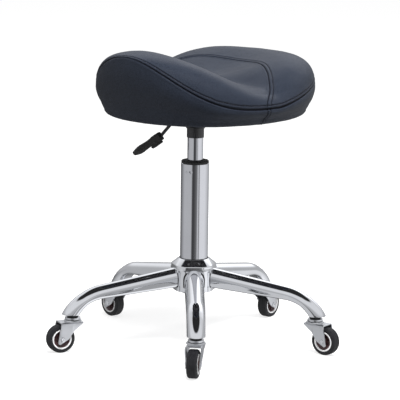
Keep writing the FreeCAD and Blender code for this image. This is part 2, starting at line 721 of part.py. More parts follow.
def lever_grip():
    """Moulded grip: square collar, waist, leaf-shaped paddle and a blunt tip, with a rib under the collar."""
    waist_at = (GRIP_COLLAR_LENGTH + GRIP_LENGTH * 0.5) / 2
    paddle_at = GRIP_LENGTH * 0.72
    sections = [
        (0, GRIP_COLLAR, GRIP_COLLAR),
        (GRIP_COLLAR_LENGTH * 0.8, GRIP_COLLAR, GRIP_COLLAR),
        (waist_at, GRIP_COLLAR, GRIP_WAIST),
        (paddle_at, GRIP_PADDLE_WIDTH, GRIP_PADDLE),
        (GRIP_LENGTH * 0.9, (GRIP_PADDLE_WIDTH + GRIP_TIP_WIDTH) / 2, (GRIP_PADDLE + GRIP_TIP) / 2),
        (GRIP_LENGTH, GRIP_TIP_WIDTH, GRIP_TIP),
    ]
    body = skin([grip_section(*s) for s in sections])
    direction = grip_axis(1) - grip_axis(0)
    rib = block(0, GRIP_COLLAR_LENGTH, GRIP_RIB, -GRIP_COLLAR / 2 - GRIP_RIB, 0)
    rib.rotate(vec(0, 0, 0), vec(0, 1, 0), GRIP_DIP)
    rib.translate(grip_axis(0))
    bore = Part.makeCylinder(LEVER_ROD / 2 + SET, GRIP_BORE + 1 + SET, grip_axis(-1), direction)
    return turned(union([body, rib]).cut(bore), LEVER_TURN)


def lever_bracket():
    """Two ears under the seat plate that hold the pin."""
    inner = LEVER_TONGUE_WIDTH / 2 + GAP
    low = PIN_Z - EAR_WIDTH / 2
    ears = []
    for side in (inner, -inner - EAR_PLATE):
        plate = Part.makeBox(EAR_WIDTH, EAR_PLATE, PLATE_Z - low, vec(LEVER_ARM - EAR_WIDTH / 2, side, low))
        rounded = [e for e in plate.Edges if e.BoundBox.ZMax < low + 0.01 and e.BoundBox.XLength < 0.01]
        plate = plate.makeFillet(EAR_WIDTH / 3, rounded)
        ears.append(plate.cut(cross_cylinder(LEVER_PIN_DIAMETER / 2 + SET, 4 * LEVER_ARM, LEVER_ARM, PIN_Z)))
    return [turned(ear, LEVER_TURN) for ear in ears]


def lever_pin():
    """Pin through both ears and the lever's eye."""
    length = LEVER_TONGUE_WIDTH + 2 * (GAP + EAR_PLATE) + 2
    return turned(cross_cylinder(LEVER_PIN_DIAMETER / 2, length, LEVER_ARM, PIN_Z), LEVER_TURN)


# Seat


def bolt_places():
    """Centres of the seat bolts."""
    turns = [math.radians(i * 360.0 / BOLT_COUNT) for i in range(BOLT_COUNT)]
    return [(BOLT_CIRCLE / 2 * math.cos(a), BOLT_CIRCLE / 2 * math.sin(a)) for a in turns]


def seat_plate():
    """Round plate with four bolt holes."""
    plate = cylinder(PLATE_DIAMETER / 2, PLATE_Z, SEAT_Z)
    for x, y in bolt_places():
        plate = plate.cut(cylinder(BOLT_DIAMETER / 2 + SET, PLATE_Z - 1, SEAT_Z + 1, x, y))
    return plate


def tee_nut(x, y):
    """Flanged nut pressed in from the top of the board."""
    barrel = cylinder(BOLT_DIAMETER / 2 + SET + TEE_NUT_WALL, BOARD_TOP - TEE_NUT_LENGTH, BOARD_TOP, x, y)
    flange = cylinder(TEE_NUT_DIAMETER / 2, BOARD_TOP, BOARD_TOP + TEE_NUT_FLANGE, x, y)
    hole = cylinder(BOLT_DIAMETER / 2 + SET, SEAT_Z, BOARD_TOP + TEE_NUT_FLANGE + 1, x, y)
    return union([barrel, flange]).cut(hole)


def bolt_washer(x, y):
    """Flat washer under a bolt head."""
    disc = cylinder(BOLT_WASHER_DIAMETER / 2, PLATE_Z - BOLT_WASHER_HEIGHT, PLATE_Z, x, y)
    return disc.cut(cylinder(BOLT_DIAMETER / 2 + SET, PLATE_Z - BOLT_WASHER_HEIGHT - 1, PLATE_Z + 1, x, y))


def seat_bolt(x, y):
    """Hexagon bolt up through washer, plate and board into its nut."""
    seat = PLATE_Z - BOLT_WASHER_HEIGHT
    corners = [math.radians(60 * i) for i in range(6)]
    reach = BOLT_HEAD_DIAMETER / math.sqrt(3)
    outline = [vec(x + reach * math.cos(a), y + reach * math.sin(a), seat - BOLT_HEAD_HEIGHT) for a in corners]
    head = Part.Face(Part.makePolygon(outline + outline[:1])).extrude(vec(0, 0, BOLT_HEAD_HEIGHT))
    return union([head, cylinder(BOLT_DIAMETER / 2, seat, BOARD_TOP + TEE_NUT_FLANGE, x, y)])


def plan_point(turn, inset, z):
    """A point of the seat's plan outline, at an angle from the front."""
    reach = (SEAT_FRONT if math.cos(turn) > 0 else SEAT_REAR) - inset
    half = SEAT_HALF_WIDTH - inset
    power = SEAT_SQUARENESS
    size = (abs(math.cos(turn) / reach) ** power + abs(math.sin(turn) / half) ** power) ** (-1 / power)
    return vec(size * math.sin(turn), SEAT_SETBACK - size * math.cos(turn), z)


def plan_ring(inset, z):
    """The seat's plan outline as arcs."""
    count = 8
    turns = [math.pi * i / count for i in range(2 * count + 1)]
    points = [plan_point(turn, inset, z) for turn in turns[:-1]]
    points.append(points[0])
    return Part.Wire([arc(*points[i : i + 3]) for i in range(0, 2 * count, 2)])


def smooth(share):
    """Eases from 0 to 1."""
    share = min(max(share, 0.0), 1.0)
    return share * share * (3 - 2 * share)


def fade(lean):
    """How far a lean is from the sides, 0 to 1, blended softly at the sides."""
    return lean * lean * 1.15 / (abs(lean) + 0.15)


def seat_seam(lean):
    """Height of the perimeter seam, with lean from 1 at the front to -1 at the rear."""
    if lean > 0:
        return SEAT_Z + SIDE_SEAM + (FRONT_SEAM - SIDE_SEAM) * lean**4
    return SEAT_Z + SIDE_SEAM + (REAR_SEAM - SIDE_SEAM) * fade(lean)


def seat_crest(lean):
    """Height of the crest inside the seam."""
    if lean > 0:
        return SEAT_Z + SIDE_CREST + (FRONT_CREST - SIDE_CREST) * fade(lean) ** 1.27
    return SEAT_Z + SIDE_CREST + (REAR_CREST - SIDE_CREST) * (1 - (1 - fade(lean)) ** 1.9)


def seat_ring(inset, place):
    """A closed curve round the seat; place gives its share of the plan, its inset and its height at a lean."""
    points = []
    for i in range(SEAT_COLUMNS):
        turn = 2 * math.pi * i / SEAT_COLUMNS
        share, pull, height = place(math.cos(turn))
        edge = plan_point(turn, inset + pull, 0.0)
        points.append(vec(edge.x * share, SEAT_SETBACK + (edge.y - SEAT_SETBACK) * share, height))
    curve = Part.BSplineCurve()
    curve.interpolate(points, PeriodicFlag=True)
    return Part.Wire([curve.toShape()])


def top_ring(share, inset):
    """A ring of the top, from 0 at the middle to 1 at the seam."""

    def place(lean):
        crest, seam = seat_crest(lean), seat_seam(lean)
        if share <= CREST_AT:
            height = SEAT_Z + SEAT_HOLLOW + (crest - SEAT_Z - SEAT_HOLLOW) * smooth(share / CREST_AT)
        else:
            past = (share - CREST_AT) / (1 - CREST_AT)
            height = seam + (crest - seam) * math.sqrt(max(1 - past * past, 0.0))
        return share, 0.0, height - inset

    return seat_ring(inset, place)


def band_ring(share, inset, foot):
    """A ring of the side band, from 0 at the seam to 1 above the foot's rounding."""
    pull = (SEAT_DRAW_IN - SEAT_CORNER) * share**1.5 - SEAT_BELLY * math.sin(math.pi * min(1.3 * share, 1.0))

    def place(lean):
        seam = seat_seam(lean) - inset
        return 1.0, pull, seam + (foot + SEAT_CORNER - seam) * share

    return seat_ring(inset, place)


def saddle_form(inset, foot):
    """The padded seat, skinned over rings from the middle of its top to its foot."""
    eye = SEAT_Z + SEAT_HOLLOW - inset
    rings = [seat_ring(inset, lambda lean: (0.05, 0.0, eye))]
    rings += [top_ring(share, inset) for share in (0.12, 0.2, 0.34, 0.48, 0.61, 0.71, CREST_AT)]
    rings += [top_ring(CREST_AT + (1 - CREST_AT) * math.sin(math.radians(a)), inset) for a in (22, 44, 66, 90)]
    rings += [band_ring(share, inset, foot) for share in (0.25, 0.5, 0.75, 1.0)]
    bend = SEAT_CORNER * (1 - math.sqrt(0.5))
    rings.append(seat_ring(inset, lambda lean: (1.0, SEAT_DRAW_IN - SEAT_CORNER + bend, foot + bend)))
    rings.append(seat_ring(inset, lambda lean: (1.0, SEAT_DRAW_IN + bend, foot - SEAT_CORNER)))
    room = 2 * SEAT_HALF_WIDTH
    return skin(rings).common(Part.makeBox(2 * room, 2 * room, room, vec(-room, -room, foot)))


def plan_disc(inset, low, high):
    """A flat slab with the seat's plan outline."""
    return Part.Face(plan_ring(inset, low)).extrude(vec(0, 0, high - low))


def seat_board():
    """Plywood board with a hole for each nut."""
    board = plan_disc(SEAT_DRAW_IN + BOARD_INSET, SEAT_Z, BOARD_TOP)
    for x, y in bolt_places():
        board = board.cut(cylinder(BOLT_DIAMETER / 2 + 2 * SET + TEE_NUT_WALL, SEAT_Z - 1, BOARD_TOP + 1, x, y))
    return board


def seat_foam():
    """Foam pad round and over the board, relieved for the nuts."""
    pocket = plan_disc(SEAT_DRAW_IN + BOARD_INSET - GAP, SEAT_Z - 1, BOARD_TOP + GAP)
    foam = saddle_form(COVER + GAP, SEAT_Z).cut(pocket)
    for x, y in bolt_places():
        foam = foam.cut(cylinder(TEE_NUT_DIAMETER / 2 + GAP, BOARD_TOP, BOARD_TOP + TEE_NUT_FLANGE + GAP, x, y))
    return foam


def seat_cover():
    """Sewn cover over the foam, turned in under the board's edge."""
    mouth = plan_disc(SEAT_DRAW_IN + COVER_TURN_IN, SEAT_Z - COVER - 1, SEAT_Z + 1)
    return saddle_form(0.0, SEAT_Z - COVER).cut(saddle_form(COVER, SEAT_Z)).cut(mouth)


def dust_cover():
    """Thin cloth under the seat, cut out round the plate."""
    top = SEAT_Z - COVER
    sheet = plan_disc(SEAT_DRAW_IN + DUST_COVER_INSET, top - DUST_COVER, top)
    return sheet.cut(cylinder(PLATE_DIAMETER / 2 + GAP, top - DUST_COVER - 1, top + 1))


# Base
outside = hub_block()
casters = range(LEG_COUNT)
save("hub", hub())
for i in casters:
    save("leg_%d" % (i + 1), turned(leg(turned(outside, -leg_angle(0))), leg_angle(i)))
save("stem_sockets", *[stem_place(stem_socket(), i) for i in casters])
save("caster_stems", *[stem_place(caster_stem(), i) for i in casters])
save("swivel_balls", *[stem_place(ball, i) for i in casters for ball in swivel_balls()])
save("column_tube", column_tube())
save("guide_bush", guide_bush())
save("bearing_race_lower", bearing_race(FLOOR_TOP))
save("bearing_balls", *bearing_balls())

# Casters
wheel_parts = {"fork": fork(), "axle": axle(), "wheel_core": wheel_core(), "wheel_rim": wheel_rim(), "tyre": tyre()}
for i in casters:
    for name, shape in wheel_parts.items():
        save("%s_%d" % (name, i + 1), caster_place(shape, i))

# Gas-lift rod
save("piston_rod", cylinder(ROD_R, COLUMN_Z, PISTON_Z))
save("piston", cylinder(LIFT_R - LIFT_WALL - RUN, PISTON_Z, PISTON_Z + PISTON_LENGTH))
save("bearing_race_upper", bearing_race(UPPER_RACE_Z))
save("bump_stop", ring(BUMP_DIAMETER / 2, ROD_R + SET, BUMP_Z, BUMP_Z + BUMP_HEIGHT))
save("rod_clip", ring(CLIP_DIAMETER / 2, ROD_R + SET, FLOOR_Z - GAP - CLIP_HEIGHT, FLOOR_Z - GAP))

# Lift and seat
save("lift_cylinder", lift_cylinder())
save("rod_gland", ring(LIFT_R - LIFT_WALL - SET, ROD_R + RUN, LIFT_Z, GLAND_TOP))
save("release_button", release_button())
save("cone_socket", cone_socket())
save("seat_plate", seat_plate())
save("lever_bracket", *lever_bracket())
save("lever_pin", lever_pin())
save("lever_rod", lever_rod())
save("lever_grip", lever_grip())
save("seat_bolts", *[seat_bolt(x, y) for x, y in bolt_places()])
save("bolt_washers", *[bolt_washer(x, y) for x, y in bolt_places()])
save("tee_nuts", *[tee_nut(x, y) for x, y in bolt_places()])
save("seat_board", seat_board())
save("seat_foam", seat_foam())
save("seat_cover", seat_cover())
save("dust_cover", dust_cover())
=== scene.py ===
"""Dresses the rolling saddle stool: padded cover, chrome base and gas lift, release lever and casters."""

import logging
import math
from dataclasses import dataclass, field
from enum import Enum
from typing import Callable, Sequence

import bmesh
import bpy
import numpy as np
from mathutils import Matrix, Vector, noise
from mathutils.bvhtree import BVHTree
from mathutils.kdtree import KDTree


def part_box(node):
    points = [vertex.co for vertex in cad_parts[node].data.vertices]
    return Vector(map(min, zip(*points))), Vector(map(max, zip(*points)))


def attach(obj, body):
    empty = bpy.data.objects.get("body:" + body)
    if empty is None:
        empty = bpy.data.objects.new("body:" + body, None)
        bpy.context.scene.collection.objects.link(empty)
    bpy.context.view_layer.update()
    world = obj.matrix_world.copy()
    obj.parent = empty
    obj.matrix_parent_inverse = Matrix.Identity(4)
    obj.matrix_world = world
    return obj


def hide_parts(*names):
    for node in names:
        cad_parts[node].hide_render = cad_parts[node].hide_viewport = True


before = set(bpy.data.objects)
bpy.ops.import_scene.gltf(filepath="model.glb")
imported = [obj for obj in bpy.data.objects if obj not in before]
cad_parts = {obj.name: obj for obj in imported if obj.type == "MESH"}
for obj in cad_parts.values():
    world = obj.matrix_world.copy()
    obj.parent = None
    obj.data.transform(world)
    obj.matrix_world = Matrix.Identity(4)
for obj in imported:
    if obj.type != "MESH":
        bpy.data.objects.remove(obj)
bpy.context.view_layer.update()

LOG = logging.getLogger("stool")
MM = 0.001
MERGE = 1e-6
CAD_MERGE = 2e-6
CAD_FLAT = math.radians(0.5)
LEGS = 5
FIRST_LEG = -43.5
STEM_CIRCLE = 225.0
Piece = bpy.types.Object
Outline = list[tuple[float, float]]
Colour = tuple[float, float, float, float]


class Value:
    """A shader value: arithmetic on it adds Math nodes."""

    def __init__(self, graph: "Graph", socket: bpy.types.NodeSocket) -> None:
        """Wraps a socket of a graph."""
        self.graph = graph
        self.socket = socket

    def math(self, operation: str, *others: "Value | float", flip: bool = False) -> "Value":
        """Adds a Math node.

        Args:
            operation: name of the Math node's operation.
            others: further operands.
            flip: puts this value last.

        Returns:
            The node's result.
        """
        operands = [*others, self] if flip else [self, *others]
        return self.graph.node("ShaderNodeMath", {"operation": operation}, dict(enumerate(operands)))

    def __add__(self, other: "Value | float") -> "Value":
        """Sum."""
        return self.math("ADD", other)

    __radd__ = __add__

    def __sub__(self, other: "Value | float") -> "Value":
        """Difference."""
        return self.math("SUBTRACT", other)

    def __rsub__(self, other: float) -> "Value":
        """Difference from a number."""
        return self.math("SUBTRACT", other, flip=True)

    def __mul__(self, other: "Value | float") -> "Value":
        """Product."""
        return self.math("MULTIPLY", other)

    __rmul__ = __mul__

    def __truediv__(self, other: "Value | float") -> "Value":
        """Quotient."""
        return self.math("DIVIDE", other)

    def between(self, low: float, high: float) -> "Value":
        """Eases from 0 at low to 1 at high."""
        span = {"Value": self, "From Min": low, "From Max": high}
        return self.graph.node("ShaderNodeMapRange", {"interpolation_type": "SMOOTHSTEP"}, span)


class Graph:
    """The nodes of one material or of the world."""

    def __init__(self, tree: bpy.types.NodeTree) -> None:
        """Starts from an empty node tree."""
        self.tree = tree
        self.tree.nodes.clear()

    def node(self, kind: str, settings: dict | None = None, inputs: dict | None = None,
             output: int | str = 0) -> Value:
        """Adds a node.

        Args:
            kind: the node's type.
            settings: its properties.
            inputs: socket name or number to a value, a number or a colour.
            output: which of its outputs to give back.

        Returns:
            The chosen output.
        """
        node = self.tree.nodes.new(kind)
        for key, value in (settings or {}).items():
            setattr(node, key, value)
        for key, value in (inputs or {}).items():
            if isinstance(value, Value):
                self.tree.links.new(value.socket, node.inputs[key])
            else:
                node.inputs[key].default_value = value
        return Value(self, node.outputs[output]) if node.outputs else Value(self, node.inputs[0])

    def place(self, scale: tuple[float, float, float] = (1.0, 1.0, 1.0)) -> Value:
        """Object coordinates, stretched by a scale."""
        where = self.node("ShaderNodeTexCoord", output="Object")
        return self.node("ShaderNodeMapping", None, {"Vector": where, "Scale": scale})

    def noise(self, where: Value, scale: float, detail: float = 3.0, rough: float = 0.5) -> Value:
        """Noise from 0 to 1."""
        inputs = {"Vector": where, "Scale": scale, "Detail": detail, "Roughness": rough}
        return self.node("ShaderNodeTexNoise", None, inputs, "Fac")

    def cells(self, where: Value, scale: float, feature: str = "F1") -> Value:
        """Distance within Voronoi cells."""
        inputs = {"Vector": where, "Scale": scale}
        return self.node("ShaderNodeTexVoronoi", {"feature": feature}, inputs, "Distance")

    def mix(self, factor: Value | float, first: Value | Colour, second: Value | Colour) -> Value:
        """Blends two colours."""
        return self.node("ShaderNodeMix", {"data_type": "RGBA"}, {0: factor, 6: first, 7: second}, 2)

    def bump(self, height: Value, depth: float, strength: float = 1.0, under: Value | None = None) -> Value:
        """A normal from a height.

        Args:
            height: the relief.
            depth: its depth in metres.
            strength: share of it that shows.
            under: a coarser normal that it lies on.

        Returns:
            The normal.
        """
        inputs = {"Height": height, "Distance": depth, "Strength": strength}
        if under is not None:
            inputs["Normal"] = under
        return self.node("ShaderNodeBump", None, inputs)

    def surface(self, **sockets: Value | float | Colour) -> None:
        """Ends a material in one Principled shader.

        Args:
            sockets: its sockets; an underscore in a name stands for a space.
        """
        named = {key.replace("_", " "): value for key, value in sockets.items()}
        shader = self.node("ShaderNodeBsdfPrincipled", None, named)
        self.node("ShaderNodeOutputMaterial", None, {"Surface": shader})


def rgb(red: float, green: float, blue: float) -> Colour:
    """A linear colour with full alpha."""
    return (red, green, blue, 1.0)


def toned(colour: Colour, factor: float, lift: float = 0.0) -> Colour:
    """A darker or paler tone of a colour."""
    return rgb(*(channel * factor + lift for channel in colour[:3]))


@dataclass(frozen=True)
class Finish:
    """A surface finish; each kind draws its own nodes."""

    name: str

    def material(self) -> bpy.types.Material:
        """The finish's material.

        Returns:
            The material, made at the first call.
        """
        made = bpy.data.materials.get(self.name)
        if made is None:
            made = bpy.data.materials.new(self.name)
            made.use_nodes = True
            self.draw(Graph(made.node_tree))
        return made

    def draw(self, graph: Graph) -> None:
        """Adds the finish's nodes to a new material."""
        raise NotImplementedError


@dataclass(frozen=True)
class PlatedMetal(Finish):
    """Bright plating: a mirror with faint ripples, polishing haze and fine hairlines."""

    tint: Colour
    roughness: float
    haze: float
    ripple: float
    hairline: tuple = (1.0, 1.0, 1.0)
    cloud_scale: float = 22.0
    ripple_scale: float = 14.0
    hairline_scale: float = 900.0
    hairline_depth: float = 0.00001

    def draw(self, graph: Graph) -> None:
        """Adds the plating's nodes.

        Args:
            graph: nodes of the new material.
        """
        where = graph.place()
        cloud = graph.noise(where, self.cloud_scale, 4.0)
        fine = graph.noise(graph.place(self.hairline), self.hairline_scale, 2.0, 0.6)
        shade = graph.mix(cloud.between(0.25, 0.8), toned(self.tint, 0.94), self.tint)
        rough = self.roughness + (cloud * 0.6 + fine * 0.4) * self.haze
        normal = graph.bump(graph.noise(where, self.ripple_scale, 1.0), self.ripple)
        normal = graph.bump(fine, self.hairline_depth, 0.35, normal)
        graph.surface(Base_Color=shade, Metallic=1.0, Roughness=rough, Normal=normal)


@dataclass(frozen=True)
class Moulded(Finish):
    """Moulded plastic or paint with a fine spark-eroded grain and handling shine."""

    colour: Colour
    roughness: float
    grain: float
    grain_scale: float = 1600.0
    cloud_scale: float = 60.0

    def draw(self, graph: Graph) -> None:
        """Adds the plastic's nodes.

        Args:
            graph: nodes of the new material.
        """
        where = graph.place()
        cloud = graph.noise(where, self.cloud_scale, 4.0)
        pores = graph.cells(where, self.grain_scale)
        shade = graph.mix(cloud.between(0.35, 0.75), self.colour, toned(self.colour, 1.35, 0.002))
        rough = self.roughness + (cloud - 0.5) * 0.16
        graph.surface(Base_Color=shade, Roughness=rough, Normal=graph.bump(pores, self.grain))


@dataclass(frozen=True)
class Rubber(Finish):
    """Tyre rubber, greyer and duller where it has picked up dust."""

    colour: Colour
    dust: Colour
    roughness: float
    cloud_scale: float = 120.0
    speck_scale: float = 900.0
    speck_depth: float = 0.00012

    def draw(self, graph: Graph) -> None:
        """Adds the rubber's nodes.

        Args:
            graph: nodes of the new material.
        """
        where = graph.place()
        cloud = graph.noise(where, self.cloud_scale, 5.0, 0.65)
        specks = graph.noise(where, self.speck_scale, 2.0)
        shade = graph.mix(cloud.between(0.5, 0.8) * 0.5, self.colour, self.dust)
        rough = self.roughness + (specks - 0.5) * 0.2
        graph.surface(Base_Color=shade, Roughness=rough, Normal=graph.bump(specks, self.speck_depth, 0.6))


@dataclass(frozen=True)
class CoatedLeather(Finish):
    """Black leathercloth: pebble grain, a soft sheen, and painted shade in the creases along the sewing and
    in the grain's wrinkles.
    """

    colour: Colour
    sheen: Colour
    # painted shade: the near-black colour laid into creases
    crease: Colour
    roughness: float
    drift_scale: float = 7.0
    pebble_scale: float = 520.0
    pebble_depth: float = 0.00022
    wrinkle_share: float = 0.55
    wrinkle_depth: float = 0.00012
    gloss: float = 0.18
    crease_shade_attribute: str = "crease"

    def draw(self, graph: Graph) -> None:
        """Adds the leathercloth's nodes.

        Args:
            graph: nodes of the new material.
        """
        where = graph.place()
        drift = graph.noise(where, self.drift_scale, 3.0)
        pebble = graph.cells(where, self.pebble_scale, "SMOOTH_F1")
        wrinkle = graph.cells(where, self.pebble_scale * self.wrinkle_share, "DISTANCE_TO_EDGE")
        # painted shade along the sewing, read from the baked crease attribute
        seam_shade = graph.node("ShaderNodeAttribute", {"attribute_name": self.crease_shade_attribute}, None, "Fac")
        valley = 1 - wrinkle.between(0.0, 0.12)
        shade = graph.mix(drift.between(0.3, 0.7), self.colour, self.sheen)
        # painted shade in the wrinkle valleys of the grain; the bump below is real relief
        shade = graph.mix(valley * 0.35, shade, self.crease)
        # painted shade in the seam creases, which are also made rougher
        shade = graph.mix(seam_shade, shade, self.crease)
        rough = self.roughness + (drift - 0.5) * 0.1 + valley * 0.08 + seam_shade * 0.2
        normal = graph.bump(pebble, self.pebble_depth, 0.5)
        normal = graph.bump(valley, -self.wrinkle_depth, 0.6, normal)
        graph.surface(Base_Color=shade, Roughness=rough, Normal=normal, Specular_IOR_Level=self.gloss)


@dataclass(frozen=True)
class Woven(Finish):
    """Plain weave or twisted thread, with painted shade in the hollows between threads and a painted
    highlight on the raised threads.
    """

    colour: Colour
    # pale: painted highlight colour for the raised threads
    pale: Colour
    pitch: float
    fuzz_scale: float = 1500.0
    depth: float = 0.0002

    def draw(self, graph: Graph) -> None:
        """Adds the weave's nodes.

        Args:
            graph: nodes of the new material.
        """
        where = graph.place()
        yarn = {"Vector": where, "Scale": self.pitch, "Distortion": 0.6}
        bands = [{"wave_type": "BANDS", "bands_direction": axis} for axis in ("X", "Y")]
        warp, weft = (graph.node("ShaderNodeTexWave", settings, yarn, "Fac") for settings in bands)
        fuzz = graph.noise(where, self.fuzz_scale, 3.0)
        height = warp.math("MAXIMUM", weft) * 0.7 + fuzz * 0.3
        # painted shade where the threads lie low, painted highlight where they stand high
        shade = graph.mix(height.between(0.3, 0.95), self.colour, self.pale)
        graph.surface(Base_Color=shade, Roughness=0.86 + fuzz * 0.1, Normal=graph.bump(height, self.depth))


@dataclass(frozen=True)
class Plywood(Finish):
    """Birch board with long grain."""

    pale: Colour
    dark: Colour
    grain: tuple = (1.0, 9.0, 30.0)
    pore: tuple = (4.0, 60.0, 60.0)

    def draw(self, graph: Graph) -> None:
        """Adds the wood's nodes.

        Args:
            graph: nodes of the new material.
        """
        figure = {"Vector": graph.place(self.grain), "Scale": 3.0, "Distortion": 6.0, "Detail": 3.0}
        rings = graph.node("ShaderNodeTexWave", None, figure, "Fac")
        pores = graph.noise(graph.place(self.pore), 40.0, 3.0)
        shade = graph.mix(rings * 0.6 + pores * 0.4, self.pale, self.dark)
        graph.surface(Base_Color=shade, Roughness=0.55 + pores * 0.2, Normal=graph.bump(pores, 0.0001))


class Look(Enum):
    """The finishes of this stool."""

    CHROME = PlatedMetal("chrome_plate", rgb(0.80, 0.81, 0.83), 0.035, 0.05, 0.00012)
    TUBE = PlatedMetal("tube_plate", rgb(0.61, 0.615, 0.64), 0.05, 0.05, 0.00012)
    ZINC = PlatedMetal("zinc_plate", rgb(0.66, 0.67, 0.69), 0.24, 0.16, 0.00004, (1.0, 1.0, 0.08))
    STEEL = PlatedMetal("bright_steel", rgb(0.74, 0.74, 0.75), 0.20, 0.14, 0.00002)
    BLACK_PLASTIC = Moulded("black_plastic", rgb(0.012, 0.0125, 0.018), 0.24, 0.00004)
    BLACK_PAINT = Moulded("black_powder_coat", rgb(0.016, 0.016, 0.018), 0.42, 0.00010, 900.0)
    TYRE = Rubber("tyre_rubber", rgb(0.009, 0.009, 0.011), rgb(0.026, 0.026, 0.028), 0.62)
    BUMPER = Rubber("bump_rubber", rgb(0.012, 0.012, 0.012), rgb(0.03, 0.03, 0.03), 0.7)
    CORE = Moulded("brown_core", rgb(0.058, 0.028, 0.030), 0.42, 0.00006)
    RIM = Moulded("pale_rim", rgb(0.84, 0.84, 0.85), 0.30, 0.00003)
    # the leathercloth's third, near-black colour is painted shade for seam creases and grain wrinkles
    LEATHER = CoatedLeather("black_leathercloth", rgb(0.0155, 0.0198, 0.0305), rgb(0.0186, 0.0234, 0.0352),
                            rgb(0.002, 0.002, 0.004), 0.42)
    # the second colour of each weave is the painted highlight on its raised threads
    THREAD = Woven("sewing_thread", rgb(0.012, 0.013, 0.018), rgb(0.05, 0.052, 0.062), 900.0)
    DUST_CLOTH = Woven("dust_cloth", rgb(0.010, 0.010, 0.011), rgb(0.028, 0.028, 0.030), 420.0)
    BOARD = Plywood("plywood_board", rgb(0.56, 0.40, 0.23), rgb(0.36, 0.23, 0.12))

    def paint(self, piece: Piece) -> None:
        """Gives a piece this finish alone."""
        piece.data.materials.clear()
        piece.data.materials.append(self.value.material())


